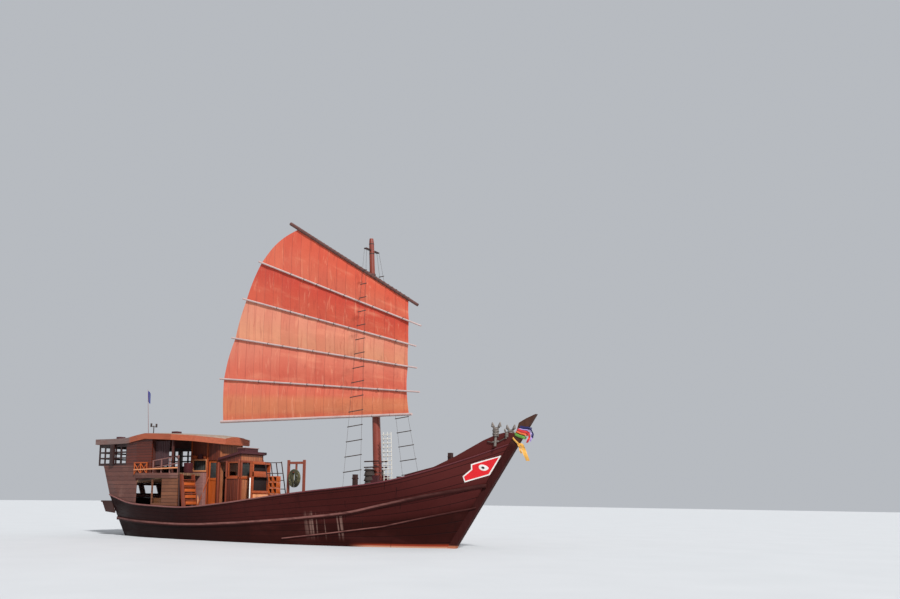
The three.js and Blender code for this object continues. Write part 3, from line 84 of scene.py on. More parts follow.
PLANK_BELOW = 0.24
HALVINGS = 40

# Mast, sail and spars: x and z of the sail's aft and fore edge on each spar
MAST_FOOT = (4.846, 1.740)
MAST_TOP = 13.03
MAST_RAKE = -0.0587
MAST_RADII = (0.195, 0.105)
SAIL_Y = -0.29
SAIL_ROWS = (
    (0.280, 13.930, 6.360, 10.030),
    (-1.840, 12.680, 6.390, 9.220),
    (-2.710, 11.020, 6.390, 8.280),
    (-3.330, 9.250, 6.390, 7.320),
    (-3.960, 7.370, 6.340, 6.360),
    (-3.910, 5.410, 6.470, 5.360),
)
SIDES = ((-1, "starboard"), (1, "port"))


# Small tools
def lerp(a, b, t):
    return a + (b - a) * t


def steps(start, end, count):
    return [lerp(start, end, i / (count - 1)) for i in range(count)]


def srgb(red, green, blue):
    """A colour as a screen shows it, 0 to 255, in the linear values that shaders take."""
    def linear(value):
        value = value / 255
        return value / 12.92 if value <= 0.04045 else ((value + 0.055) / 1.055) ** 2.4
    return (linear(red), linear(green), linear(blue), 1.0)


def smooth(x, column):
    """A station column at x on a curve that passes through every station."""
    k = STATION_COLUMNS.index(column)
    xs = [row[0] for row in STATIONS]
    ys = [row[k] for row in STATIONS]
    last = len(xs) - 1
    i = max(0, min(last - 1, sum(1 for v in xs[1:] if v < x)))

    def slope(j):
        before, after = max(0, j - 1), min(last, j + 1)
        return (ys[after] - ys[before]) / (xs[after] - xs[before])

    width = xs[i + 1] - xs[i]
    t = (x - xs[i]) / width
    a, b = slope(i) * width, slope(i + 1) * width
    return (
        (2 * t ** 3 - 3 * t ** 2 + 1) * ys[i] + (t ** 3 - 2 * t ** 2 + t) * a
        + (3 * t ** 2 - 2 * t ** 3) * ys[i + 1] + (t ** 3 - t ** 2) * b
    )


class Station:
    """The hull's section that crosses the waterline at x."""

    def __init__(self, x):
        for column in STATION_COLUMNS[1:]:
            setattr(self, column, smooth(x, column))
        self.x = x
        self.deck_z = self.sheer_z - DECK_DROP - DROP_MORE * max(0, self.sheer_z - HIGH_SHEER)

    def half(self, z):
        if z >= 0:
            return lerp(self.waterline, self.sheer, z / self.sheer_z)
        t = max(0.0, 1 - z / self.keel)
        bilge = math.sin(t * math.pi / 2) ** self.fullness
        return KEEL_HALF + (self.waterline - KEEL_HALF) * bilge

    def point(self, y, z):
        return Vector((self.x + self.rake * z, y, z))


def station_under(x, height_of):
    """The station whose section passes through ship's x at the height that height_of gives."""
    low, high = HULL_AFT, HULL_FORE
    for _ in range(HALVINGS):
        at = (low + high) / 2
        if at + smooth(at, "rake") * height_of(at) < x:
            low = at
        else:
            high = at
    return at


def skin_point(way, x, z, out=0.0):
    """A point on the hull's side at ship's x and height z, moved outwards by out."""
    section = Station(station_under(x, lambda at: z))
    return Vector((x, way * (section.half(z) + out), z))


def mast_at(z):
    return Vector((MAST_FOOT[0] + MAST_RAKE * (z - MAST_FOOT[1]), 0, z))


def mast_radius(z):
    return lerp(*MAST_RADII, (z - MAST_FOOT[1]) / (MAST_TOP - MAST_FOOT[1]))


def ring_points(middle, run, radius, count=16, rise=0.0):
    """A closed round of points about an axis, with its end moved along by rise."""
    side = run.cross(Vector((0, 1, 0))).normalized()
    up = run.cross(side).normalized()
    points = []
    for k in range(count + 1):
        angle = 2 * math.pi * k / count
        points.append(middle + radius * (math.cos(angle) * side + math.sin(angle) * up)
                      + run * rise * (k / count - 0.5))
    return points


def grid_faces(rows, columns):
    """Quads between rows + 1 rows of columns + 1 points."""
    wide = columns + 1
    return [(a, a + 1, a + 1 + wide, a + wide)
            for r in range(rows) for a in range(r * wide, r * wide + columns)]


def on_side(way, x0, x1, near, far, z0, z1):
    """The corners of a box that lies between two distances from the centre line."""
    low, high = sorted((way * near, way * far))
    return (x0, low, z0), (x1, high, z1)


# Making and finishing pieces
def deselect():
    bpy.ops.object.select_all(action="DESELECT")


def only(piece):
    deselect()
    piece.select_set(True)
    bpy.context.view_layer.objects.active = piece


def fixed(piece):
    """Puts a piece's place, turn and size into its mesh."""
    only(piece)
    bpy.ops.object.transform_apply(location=True, rotation=True, scale=True)


def in_scene(name, data):
    piece = bpy.data.objects.new(name, data)
    bpy.context.scene.collection.objects.link(piece)
    return piece


def modified(piece, kind, **values):
    only(piece)
    modifier = piece.modifiers.new(kind, kind)
    for key, value in values.items():
        setattr(modifier, key, value)
    bpy.ops.object.modifier_apply(modifier=modifier.name)


def hang(piece, body, slot=None, *replaced):
    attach(piece, body)
    if replaced:
        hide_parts(*replaced)


def settle(piece, name, material, body="boat", slot=None, angle=40, replaced=()):
    """Names a piece, puts its place into its mesh, shades it and hangs it on a body."""
    piece.name = name
    piece.data.name = name
    fixed(piece)
    bpy.ops.object.shade_smooth_by_angle(angle=math.radians(angle))
    piece.data.materials.clear()
    piece.data.materials.append(material)
    hang(piece, body, slot, *replaced)
    return piece


def from_faces(name, points, faces, uv=None):
    """A mesh object from its points and faces, with an optional UV for each point."""
    mesh = bpy.data.meshes.new(name)
    mesh.from_pydata([tuple(p) for p in points], [], faces)
    if uv:
        layer = mesh.uv_layers.new(name="planks")
        for loop in mesh.loops:
            layer.data[loop.index].uv = uv[loop.vertex_index]
    return in_scene(name, mesh)


def outwards(piece):
    only(piece)
    bpy.ops.object.mode_set(mode="EDIT")
    bpy.ops.mesh.select_all(action="SELECT")
    bpy.ops.mesh.remove_doubles(threshold=0.0001)
    bpy.ops.mesh.normals_make_consistent(inside=False)
    bpy.ops.object.mode_set(mode="OBJECT")
    return piece


def grid_cloth(name, points, columns, thickness, material, slot="canvas", angle=80, uv=None):
    """A thin cloth over rows of columns + 1 points."""
    rows = len(points) // (columns + 1) - 1
    cloth = from_faces(name, points, grid_faces(rows, columns), uv)
    modified(cloth, "SOLIDIFY", thickness=thickness)
    return settle(cloth, name, material, "boat", slot, angle)


def lofted(name, rings, uv=None):
    """Joins closed rings of points with quads, and closes the two ends."""
    count = len(rings[0])
    points = [p for ring in rings for p in ring]
    faces = []
    for first in range(0, len(points) - count, count):
        for k in range(count):
            a, b = first + k, first + (k + 1) % count
            faces.append((a, b, b + count, a + count))
    faces.append(tuple(range(count)))
    faces.append(tuple(range(len(points) - count, len(points))))
    return outwards(from_faces(name, points, faces, uv))


def timber(name, low, high, material, body="boat", edge=0.008):
    """A squared timber between two corners, its edges worn round."""
    deselect()
    centre = [(a + b) / 2 for a, b in zip(low, high)]
    bpy.ops.mesh.primitive_cube_add(size=1, location=centre)
    piece = bpy.context.object
    piece.scale = [abs(b - a) for a, b in zip(low, high)]
    smallest = min(piece.scale)
    fixed(piece)
    modified(piece, "BEVEL", width=min(edge, smallest * 0.3), segments=2)
    return settle(piece, name, material, body)


def joined(name, pieces):
    """One object from several finished pieces."""
    deselect()
    for piece in pieces:
        piece.select_set(True)
    bpy.context.view_layer.objects.active = pieces[0]
    bpy.ops.object.join()
    piece = bpy.context.object
    piece.name = name
    piece.data.name = name
    return piece


def boards(name, rows, body="boat", edge=0.008):
    """One piece of several timbers, from rows of a finish and two corners."""
    return joined(name, [timber("board", low, high, material, body, edge)
                         for material, low, high in rows])


def rod(name, start, end, radius, material, end_radius=None, sides=16):
    """A round bar between two points, with softened ends."""
    start, end = Vector(start), Vector(end)
    deselect()
    bpy.ops.mesh.primitive_cone_add(
        vertices=sides, radius1=radius, radius2=radius if end_radius is None else end_radius,
        depth=(end - start).length, location=(start + end) / 2,
    )
    piece = bpy.context.object
    piece.rotation_mode = "QUATERNION"
    piece.rotation_quaternion = (end - start).to_track_quat("Z", "Y")
    fixed(piece)
    modified(piece, "BEVEL", width=radius * 0.2, segments=2, limit_method="ANGLE",
             angle_limit=math.radians(60))
    return settle(piece, name, material)


def tube(name, points, radius, resolution, kind="POLY"):
    """A curve object with a round section through points."""
    curve = bpy.data.curves.new(name, "CURVE")
    curve.dimensions = "3D"
    curve.bevel_depth = radius
    curve.bevel_resolution = resolution
    curve.use_fill_caps = True
    spline = curve.splines.new(kind)
    spline.points.add(len(points) - 1)
    for target, point in zip(spline.points, points):
        target.co = (*point, 1)
    return in_scene(name, curve)


def line(name, points, radius, material, body="boat", slot=None, sides=6):
    """A thin rope or wire through points, as a mesh tube."""
    only(tube(name, points, radius, max(1, sides // 3)))
    bpy.ops.object.convert(target="MESH")
    return settle(bpy.context.object, name, material, body, slot)


# Materials. Each is a Principled shader whose colour, roughness and bump come from nodes.
class Finish:
    """Builds one node material step by step. Its colours are as a screen shows them."""

    def __init__(self, name, roughness=0.6, metallic=0.0, coat=0.0, sheen=0.0, specular=0.3):
        self.material = bpy.data.materials.new(name)
        self.material.use_nodes = True
        self.tree = self.material.node_tree
        self.shader = self.tree.nodes["Principled BSDF"]
        for key, value in (("Roughness", roughness), ("Metallic", metallic), ("Coat Weight", coat),
                           ("Specular IOR Level", specular), ("Sheen Weight", sheen)):
            self.shader.inputs[key].default_value = value
        self.normal = None
        self.tone = None
        self.place = self.coords("Object")

    def node(self, kind, **values):
        node = self.tree.nodes.new(kind)
        for key, value in values.items():
            setattr(node, key, value)
        return node

    def put(self, target, value):
        """Links a socket, or sets a number, a colour of three parts or a linear one of four."""
        if isinstance(value, bpy.types.NodeSocket):
            self.tree.links.new(value, target)
        elif isinstance(value, tuple) and len(value) == 3:
            target.default_value = srgb(*value)
        else:
            target.default_value = value

    def coords(self, kind):
        return self.node("ShaderNodeTexCoord").outputs[kind]

    def part(self, vector, axis):
        node = self.node("ShaderNodeSeparateXYZ")
        self.put(node.inputs[0], vector)
        return node.outputs[axis]

    def noise(self, scale, detail=4.0, rough=0.55, distortion=0.0, place=None, turn=(0, 0, 0)):
        """Noise of one scale, or of one for each axis."""
        place = place or self.place
        if isinstance(scale, tuple):
            stretch = self.node("ShaderNodeMapping")
            self.put(stretch.inputs["Vector"], place)
            stretch.inputs["Scale"].default_value = scale
            stretch.inputs["Rotation"].default_value = turn
            place, scale = stretch.outputs["Vector"], 1.0
        node = self.node("ShaderNodeTexNoise")
        for key, value in (("Vector", place), ("Scale", scale), ("Detail", detail),
                           ("Roughness", rough), ("Distortion", distortion)):
            self.put(node.inputs[key], value)
        return node.outputs["Fac"]

    def math(self, operation, a, b=0.0):
        node = self.node("ShaderNodeMath", operation=operation)
        self.put(node.inputs[0], a)
        self.put(node.inputs[1], b)
        return node.outputs[0]

    def times(self, first, *others):
        for other in others:
            first = self.math("MULTIPLY", first, other)
        return first

    def between(self, value, low, high, to_low=0.0, to_high=1.0):
        node = self.node("ShaderNodeMapRange", interpolation_type="SMOOTHSTEP")
        for key, given in (("Value", value), ("From Min", low), ("From Max", high),
                           ("To Min", to_low), ("To Max", to_high)):
            self.put(node.inputs[key], given)
        return node.outputs["Result"]

    def mix(self, factor, a, b):
        node = self.node("ShaderNodeMix", data_type="RGBA")
        self.put(node.inputs[0], factor)
        self.put(node.inputs[6], a)
        self.put(node.inputs[7], b)
        return node.outputs[2]

    def seam(self, value, pitch, width):
        """1 along narrow lines that come every pitch, and 0 between them."""
        phase = self.math("FRACT", self.math("DIVIDE", value, pitch))
        edge = self.math("ABSOLUTE", self.math("SUBTRACT", phase, 0.5))
        return self.between(edge, 0.5 - width / pitch, 0.5 - width / pitch / 3)

    def cell(self, value, pitch, seed=0.0):
        """A steady random number from 0 to 1 for each plank of width pitch."""
        whole = self.math("FLOOR", self.math("DIVIDE", value, pitch))
        node = self.node("ShaderNodeTexWhiteNoise", noise_dimensions="1D")
        self.put(node.inputs["W"], self.math("ADD", whole, seed))
        return node.outputs["Value"]

    def base(self, factor, a, b):
        """Sets the tone to a mix of two colours."""
        self.tone = self.mix(factor, a, b)
        self.put(self.shader.inputs["Base Color"], self.tone)

    def over(self, factor, colour):
        """Lays a colour over the tone so far, as thickly as the factor says."""
        self.base(factor, self.tone, colour)

    def rough(self, value, low, high, rough_low, rough_high):
        self.put(self.shader.inputs["Roughness"],
                 self.between(value, low, high, rough_low, rough_high))

    def bump(self, height, distance=0.003, strength=1.0):
        node = self.node("ShaderNodeBump")
        self.put(node.inputs["Height"], height)
        node.inputs["Distance"].default_value = distance
        node.inputs["Strength"].default_value = strength
        if self.normal:
            self.put(node.inputs["Normal"], self.normal)
        self.normal = node.outputs["Normal"]
        self.put(self.shader.inputs["Normal"], self.normal)


def stretched(axis, fine, coarse):
    """A scale that stretches a grain along one axis."""
    return tuple(coarse if name == axis else fine for name in "xyz")


def planked(name, light, dark, grain, planks, pitch, roughness=0.5, wear=0.3, worn=None, coat=0.0):
    """Planked wood: grain along one axis, planks side by side along another."""
    finish = Finish(name, roughness, coat=coat)
    figure = finish.noise(stretched(grain, 14, 1.1), 6, 0.6, 0.6)
    across = finish.part(finish.place, planks.upper())
    finish.base(figure, dark, light)
    finish.over(finish.between(finish.cell(across, pitch), 0, 1, 0.0, 0.55), dark)
    blotch = finish.noise(0.9, 5, 0.6)
    finish.over(finish.between(blotch, 0.5, 0.72, 0, wear), worn or light)
    gap = finish.seam(across, pitch, 0.012)
    shadow = finish.mix(0.75, dark, (0, 0, 0))
    finish.over(gap, shadow)
    finish.rough(blotch, 0.35, 0.75, roughness * 0.8, min(1, roughness * 1.35))
    finish.bump(figure, 0.0015)
    finish.bump(finish.math("SUBTRACT", 1.0, gap), 0.006)
    return finish.material


def plain_wood(name, light, dark, grain="x", roughness=0.5, coat=0.0):
    finish = Finish(name, roughness, coat=coat)
    figure = finish.noise(stretched(grain, 18, 1.2), 6, 0.6, 0.5)
    blotch = finish.noise(2.2)
    finish.base(figure, dark, light)
    finish.over(finish.between(blotch, 0.55, 0.8, 0, 0.35), dark)
    finish.rough(blotch, 0.3, 0.8, roughness * 0.8, min(1, roughness * 1.3))
    finish.bump(figure, 0.001)
    return finish.material


def hull_paint():
    """Dark red paint over planks: faded above the wale, stained down the waist."""
    finish = Finish("hull_paint", 0.5, specular=0.06)
    run = finish.coords("UV")
    strake = finish.part(run, "Y")
    length = finish.part(run, "X")
    height = finish.part(finish.place, "Z")
    forward = finish.part(finish.place, "X")
    finish.base(finish.between(strake, 3.2, 4.4), (42, 12, 9), (60, 21, 19))
    streaks = finish.noise((5.5, 5.5, 0.35), 5, 0.65)
    finish.over(finish.between(streaks, 0.5, 0.8, 0, 0.5), (24, 10, 10))
    cloud = finish.noise((0.5, 0.5, 1.2), 5, 0.6)
    finish.over(finish.between(cloud, 0.48, 0.75, 0, 0.45), (70, 31, 29))
    finish.over(finish.between(forward, 1.0, -5.0, 0, 0.75), (20, 6, 6))
    faded = finish.times(finish.between(height, 1.2, 3.4), finish.between(forward, 4, 9), 0.6)
    finish.over(faded, (94, 42, 40))
    stains = finish.between(finish.noise((7.0, 0.2, 0.25), 3, 0.5), 0.53, 0.64)
    waist = finish.times(finish.between(forward, 2.6, 3.3), finish.between(forward, 5.6, 4.9))
    finish.over(finish.times(stains, finish.between(height, 0.15, 0.7),
                             finish.between(height, 1.42, 1.2), waist, 0.4), (170, 134, 122))
    ragged = finish.math("ADD", height, finish.times(cloud, 0.12))
    boot_top = finish.times(finish.between(forward, 4.6, 5.6), finish.between(ragged, 0.26, 0.15))
    finish.over(boot_top, (140, 52, 30))
    finish.over(finish.times(boot_top, finish.between(height, 0.09, 0.03), 0.7), (200, 156, 128))
    finish.over(finish.between(height, -0.02, -0.12), (120, 44, 32))
    joint = finish.seam(finish.math("ADD", strake, 0.5), 1.0, 0.05)
    shifted = finish.math("ADD", length, finish.times(finish.cell(strake, 1.0), 5.0))
    seams = finish.math("MAXIMUM", joint, finish.seam(shifted, 4.6, 0.012))
    finish.over(finish.times(seams, 0.75), (22, 9, 9))
    finish.rough(cloud, 0.35, 0.75, 0.38, 0.68)
    finish.bump(finish.math("SUBTRACT", 1.0, seams), 0.008)
    finish.bump(streaks, 0.002)
    return finish.material


def strake_paint():
    """Dark paint with a thin pale band along its upper edge: a painted highlight broken up by scuffs,
    full in the waist and faint towards the bow.
    """
    finish = Finish("strake_paint", 0.55, specular=0.08)
    up = finish.part(finish.coords("UV"), "Y")
    forward = finish.part(finish.place, "X")
    scuffs = finish.noise((1.6, 1.6, 9.0), 6, 0.65)
    finish.base(scuffs, (40, 13, 12), (62, 28, 26))
    # Painted highlight: the upper band of the strake's face is laid over in pale paint, broken up by
    # the scuffs and faint towards the bow.
    edge = finish.times(finish.between(up, 0.30, 0.55), finish.between(up, 1.0, 0.8))
    scuffed_highlight = finish.times(finish.between(scuffs, 0.34, 0.6, 0.35, 1.0),
                          finish.between(forward, 9.0, 5.0, 0.12, 1.0))
    finish.over(finish.times(edge, scuffed_highlight), (132, 88, 82))
    finish.rough(scuffs, 0.3, 0.7, 0.45, 0.75)
    finish.bump(scuffs, 0.002)
    return finish.material


CLOTH_WIDE = 0.52  # between the sail's seams
BAY_COLOURS = (  # at the head and the foot of each bay
    ((202, 84, 58), (210, 102, 74)),
    ((184, 62, 43), (200, 84, 58)),
    ((210, 130, 104), (214, 140, 106)),
    ((206, 116, 92), (204, 98, 74)),
    ((204, 102, 78), (196, 102, 68)),
)


def canvas():
    """Sun-faded red cloth in vertical panels, each bay between battens faded in its own way."""
    finish = Finish("canvas", 0.92, sheen=0.15)
    run = finish.coords("UV")
    across = finish.part(run, "X")  # metres forward
    down = finish.part(run, "Y")  # bays counted down from the yard
    inside = finish.math("FRACT", down)
    for k, (head, foot) in enumerate(BAY_COLOURS):
        shade = finish.mix(finish.between(inside, 0.1, 0.9), head, foot)
        finish.tone = finish.tone or shade
        finish.over(finish.between(down, k - 0.01, k + 0.01), shade)
    panel = finish.cell(across, CLOTH_WIDE, 3.0)
    finish.over(finish.between(panel, 0.2, 1.0, 0.0, 0.28), (188, 58, 42))
    fade = finish.noise((0.35, 2.4, 1), 4, 0.55, 0, run)
    finish.over(finish.between(fade, 0.52, 0.74, 0, 0.4), (232, 150, 116))
    drips = finish.noise((3.2, 0.5, 1), 5, 0.6, 0, run)
    finish.over(finish.between(drips, 0.54, 0.78, 0, 0.3), (176, 48, 36))
    last_bay = finish.between(finish.math("FLOOR", down), 3.4, 3.6)
    finish.over(finish.times(last_bay, finish.between(inside, 0.3, 0.5),
                             finish.between(inside, 0.95, 0.78), 0.6), (200, 120, 80))
    seams = finish.seam(across, CLOTH_WIDE, 0.024)
    finish.over(finish.times(seams, 0.32), (132, 40, 30))
    creases = finish.noise((5.0, 1.6, 1), 5, 0.6, 0.8, run)
    # Painted shade and painted highlight: the cloth is darkened along one side of each crease and
    # lightened along the other.
    finish.over(finish.between(creases, 0.56, 0.7, 0, 0.3), (150, 52, 38))
    finish.over(finish.between(creases, 0.44, 0.3, 0, 0.3), (232, 160, 126))
    finish.bump(seams, 0.004)
    finish.bump(finish.noise(260.0, 2, 0.5), 0.0006)
    finish.bump(finish.noise((2.2, 5.0, 1), 3, place=run), 0.03, 0.35)
    finish.bump(creases, 0.02, 0.5)
    return finish.material


ROPE_SLANT = (0.5, 0.7, 0)


def rope_fibre(name, light, dark):
    """Laid rope: slanting strands."""
    finish = Finish(name, 0.9)
    strands = finish.noise((60, 60, 60), 3, turn=ROPE_SLANT)
    finish.base(strands, dark, light)
    finish.bump(strands, 0.003)
    return finish.material


def coil_rope():
    """Dark worn rope, some of its turns bleached yellow-green."""
    finish = Finish("coil_rope", 0.9)
    strands = finish.noise((70, 70, 70), 3, turn=ROPE_SLANT)
    turns = finish.between(finish.noise((38, 38, 1.2), 2), 0.50, 0.62)
    pale = finish.mix(strands, (86, 82, 52), (150, 142, 96))
    dark = finish.mix(strands, (26, 26, 24), (62, 60, 48))
    finish.base(turns, dark, pale)
    finish.bump(strands, 0.003)
    return finish.material


def flat_paint(name, colour, dark, roughness=0.6, metallic=0.0, scale=6.0):
    finish = Finish(name, roughness, metallic)
    cloud = finish.noise(scale, 5, 0.6)
    finish.base(finish.between(cloud, 0.4, 0.75, 0, 0.7), colour, dark)
    finish.rough(cloud, 0.3, 0.7, roughness * 0.8, min(1, roughness * 1.3))
    finish.bump(cloud, 0.001)
    return finish.material


def cap_wood():
    """Rail worn pale and pink aft, with its dark paint left towards the bow."""
    finish = Finish("cap_wood", 0.7)
    grain = finish.noise((1.2, 18, 18), 6, 0.6, 0.5)
    worn = finish.mix(grain, (88, 46, 46), (142, 96, 90))
    painted = finish.mix(grain, (66, 24, 30), (112, 52, 56))
    forward = finish.part(finish.place, "X")
    finish.base(finish.between(forward, 0.5, 3.5), worn, painted)
    finish.bump(grain, 0.001)
    return finish.material


def stem_paint():
    """Stem painted with the hull, its head and the keel below left as dark bare wood."""
    finish = Finish("stem_paint", 0.6, specular=0.08)
    grain = finish.noise((9, 9, 1.6), 6, 0.6, 0.5)
    finish.base(grain, (40, 14, 12), (66, 28, 26))
    height = finish.part(finish.place, "Z")
    finish.over(finish.between(height, 3.9, 4.3), finish.mix(grain, (52, 32, 28), (92, 62, 50)))
    finish.over(finish.between(height, 0.14, 0.06), (176, 108, 80))
    finish.over(finish.between(height, 0.0, -0.1), (120, 44, 32))
    finish.bump(grain, 0.0015)
    return finish.material


def roof_board_wood():
    """Oiled board, bare and grey towards the stern, where the grey is also painted shade on the edge
    that turns aft, away from the light.
    """
    finish = Finish("roof_board_wood", 0.5, coat=0.1)
    grain = finish.noise((1.0, 14, 22), 6, 0.6, 0.4)
    oiled = finish.mix(grain, (112, 48, 30), (178, 92, 58))
    bare = finish.mix(grain, (84, 62, 58), (132, 106, 100))
    cloud = finish.noise(1.4)
    forward = finish.math("ADD", finish.part(finish.place, "X"), finish.times(cloud, 0.6))
    # Aft of x = -7.6 the board turns grey: weathered bare wood and painted shade where the edge turns
    # away from the light.
    finish.base(finish.between(forward, -7.75, -7.45), bare, oiled)
    finish.over(finish.between(finish.noise((1.2, 1.2, 4.0)), 0.55, 0.75, 0, 0.4), (108, 52, 36))
    finish.rough(cloud, 0.3, 0.7, 0.4, 0.65)
    finish.bump(grain, 0.002)
    return finish.material


def pane_glass():
    finish = Finish("pane_glass", 0.12)
    finish.shader.inputs["IOR"].default_value = 1.45
    smear = finish.noise((2, 2, 6))
    finish.base(smear, (38, 40, 40), (66, 68, 66))
    finish.rough(smear, 0.3, 0.7, 0.08, 0.3)
    return finish.material


def curtain_cloth(name, light, dark):
    finish = Finish(name, 0.9, sheen=0.2)
    finish.base(finish.noise((3, 3, 1)), dark, light)
    finish.bump(finish.noise(300.0, 2), 0.0006)
    return finish.material


def ribbon_cloth(name, colour, dark):
    finish = Finish(name, 0.55, sheen=0.2)
    folds = finish.noise((9, 9, 16))
    # Painted shade: the cloth is darker in the hollows of its folds.
    finish.base(folds, dark, colour)
    finish.bump(folds, 0.01)
    return finish.material


HULL_PAINT = hull_paint()
STRAKE_PAINT = strake_paint()
CANVAS = canvas()
STEM_PAINT = stem_paint()
ROOF_BOARD = roof_board_wood()
CAP_WOOD = cap_wood()
COIL_ROPE = coil_rope()
GLASS = pane_glass()

# Planked: light, dark, grain axis, planks' axis, plank width, roughness, wear, worn colour, coat
WEATHERED = planked("weathered_wood", (118, 78, 68), (80, 46, 40), "x", "z", 0.2, 0.7, 0.4,
                    (138, 104, 94))
VARNISH_LEVEL = planked("varnish", (110, 44, 26), (58, 22, 15), "x", "z", 0.13, 0.42, 0.3,
                        (108, 60, 42), 0.05)
VARNISH_UP = planked("varnish_upright", (126, 58, 38), (72, 30, 22), "z", "x", 0.11, 0.42, 0.3,
                     (140, 74, 50), 0.08)
SIDE_PLANKS = planked("side_planks", (136, 86, 58), (88, 50, 34), "x", "z", 0.16, 0.5, 0.4,
                      (140, 92, 66))
VARNISH_UP_END = planked("varnish_end", (190, 118, 78), (136, 74, 46), "z", "y", 0.11, 0.42, 0.3,
                         (200, 132, 90), 0.08)
DECK_PLANK = planked("deck_plank", (150, 116, 88), (98, 70, 52), "x", "y", 0.12, 0.75, 0.4)

# Plain woods: light, dark, grain axis, roughness, coat
KEEL_PAINT = plain_wood("keel_paint", (92, 40, 30), (60, 22, 18), "x", 0.6)
WEATHERED_FLAT = plain_wood("weathered_rail", (150, 108, 100), (92, 54, 52), "x", 0.75)
VARNISH = plain_wood("varnish_trim", (178, 86, 44), (118, 48, 24), "x", 0.45, 0.1)
VARNISH_PALE = plain_wood("varnish_pale", (222, 158, 112), (190, 112, 70), "x", 0.45, 0.1)
VARNISH_DOOR = plain_wood("varnish_door", (188, 92, 34), (136, 54, 18), "z", 0.45, 0.1)
STEP_WOOD = plain_wood("step_wood", (196, 98, 46), (140, 60, 28), "y", 0.4, 0.25)
STAND_WOOD = plain_wood("stand_wood", (150, 74, 50), (92, 40, 30), "z", 0.45, 0.15)
BEAM_WOOD = plain_wood("beam_wood", (92, 50, 40), (52, 26, 26), "x", 0.6)
LATTICE_WOOD = plain_wood("lattice_wood", (60, 36, 32), (32, 18, 18), "z", 0.5)
# Near-black wood that is painted shade in openings and recesses: the deckhouse's lower opening, the
# cabinet's backs and the crates' insides.
PAINTED_SHADE_WOOD = plain_wood("painted_shade_wood", (40, 26, 24), (22, 15, 15), "z", 0.8)
DARK_WOOD = plain_wood("dark_wood", (70, 42, 36), (36, 20, 20), "x", 0.6)
DARK_RED_WOOD = plain_wood("dark_red_wood", (84, 38, 40), (50, 20, 26), "y", 0.5)
SPAR_WOOD = plain_wood("spar_wood", (206, 184, 178), (150, 122, 120), "x", 0.75)
YARD_WOOD = plain_wood("yard_wood", (112, 74, 66), (58, 34, 34), "x", 0.7)
MAST_WOOD = plain_wood("mast_wood", (142, 66, 50), (86, 32, 26), "z", 0.45, 0.2)

# Paint and metal: colour, darker colour, roughness, metallic, scale of the clouds
ROOF_TOP = flat_paint("roof_top", (146, 128, 114), (104, 84, 74), 0.9)
IRON = flat_paint("iron", (62, 56, 54), (92, 52, 36), 0.6, 0.6, 20.0)
ANCHOR_IRON = flat_paint("anchor_iron", (128, 120, 114), (78, 62, 54), 0.6, 0.4, 18.0)
BRONZE = flat_paint("bronze", (176, 126, 70), (104, 84, 52), 0.35, 0.9, 9.0)
ENGINE_IRON = flat_paint("engine_iron", (86, 100, 90), (52, 56, 52), 0.5, 0.3)
WHITE_PAINT = flat_paint("white_paint", (232, 228, 222), (200, 192, 184), 0.5)
EYE_RED = flat_paint("eye_red", (214, 28, 36), (184, 22, 30), 0.4, scale=3.0)
BLACK_PAINT = flat_paint("black_paint", (26, 24, 26), (44, 40, 42), 0.4)

# Rope and cloth: light, dark
PALE_ROPE = rope_fibre("pale_rope", (226, 222, 212), (164, 158, 150))
DARK_ROPE = rope_fibre("dark_rope", (88, 76, 70), (40, 34, 34))
CURTAIN = curtain_cloth("curtain", (74, 44, 46), (38, 20, 24))
GREEN_CURTAIN = curtain_cloth("green_curtain", (52, 54, 46), (24, 22, 22))


# Rope hung on its stand in long turns, the wide ones outside and the narrow ones hanging within
COIL_AT = (1.62, -1.565, 2.70)
COIL_ROPE_WIDE = 0.024
COIL_SIDES = (-0.036, -0.012, 0.012, 0.036)  # y of the four layers
COIL_WIDTHS = (0.300, 0.268, 0.232, 0.192, 0.150, 0.106, 0.062)  # half width of each turn in a layer
COIL_TOP = 0.375  # half height of the widest turn
COIL_DROP = 0.0155  # how much lower each narrower turn's top is
COIL_RISE = 2.2  # how much more its foot is raised than its top is dropped
TURN_POINTS = 24
CROSS_OVER = 0.75  # part of a turn after which the rope moves on to the next


def coil_places():
    """Each turn's y, half width and drop of its top below the widest turn's."""
    places = []
    for layer, side in enumerate(COIL_SIDES):
        widths = COIL_WIDTHS if layer % 2 == 0 else COIL_WIDTHS[::-1]
        places += [(side, wide, COIL_DROP * COIL_WIDTHS.index(wide)) for wide in widths]
    return places


def coil_route():
    places = coil_places()
    last = len(places) - 1
    points = []
    for k in range(len(places) * TURN_POINTS + 1):
        turn = min(k // TURN_POINTS, last)
        after = places[min(turn + 1, last)]
        t = min(1, max(0, k / TURN_POINTS - turn - CROSS_OVER) / (1 - CROSS_OVER))
        side, wide, drop = (lerp(a, b, t) for a, b in zip(places[turn], after))
        angle = math.pi / 2 + 2 * math.pi * k / TURN_POINTS
        up = math.sin(angle)
        high = COIL_TOP - drop * (1 if up > 0 else COIL_RISE)
        points.append(Vector(COIL_AT) + Vector((wide * math.cos(angle), side, high * up)))
    return points


def rope_coil():
    points = coil_route()
    piece = tube("rope_coil_turns", points, COIL_ROPE_WIDE / 2, 2, "NURBS")
    piece.data.resolution_u = 2
    spline = piece.data.splines[0]
    spline.use_endpoint_u = True
    spline.order_u = 4
    piece.data.materials.append(COIL_ROPE)
    hang(piece, "boat", "rope", "rope_coil")


# Hull
RING_BELOW = (0, 0.06, 0.14, 0.25, 0.38, 0.52, 0.66, 0.82)  # parts of the way from keel to waterline
HULL_RINGS = 120
RINGS_ABOVE = 9
RINGS_INSIDE = 3
LEAST_HALF = 0.01
END_STEP = 0.001  # half the length of the step down into the deck's well
WELL_AT = (-5.0, 0, 0.25)
WELL_SIZE = (2.04, 1.08, 1.904)


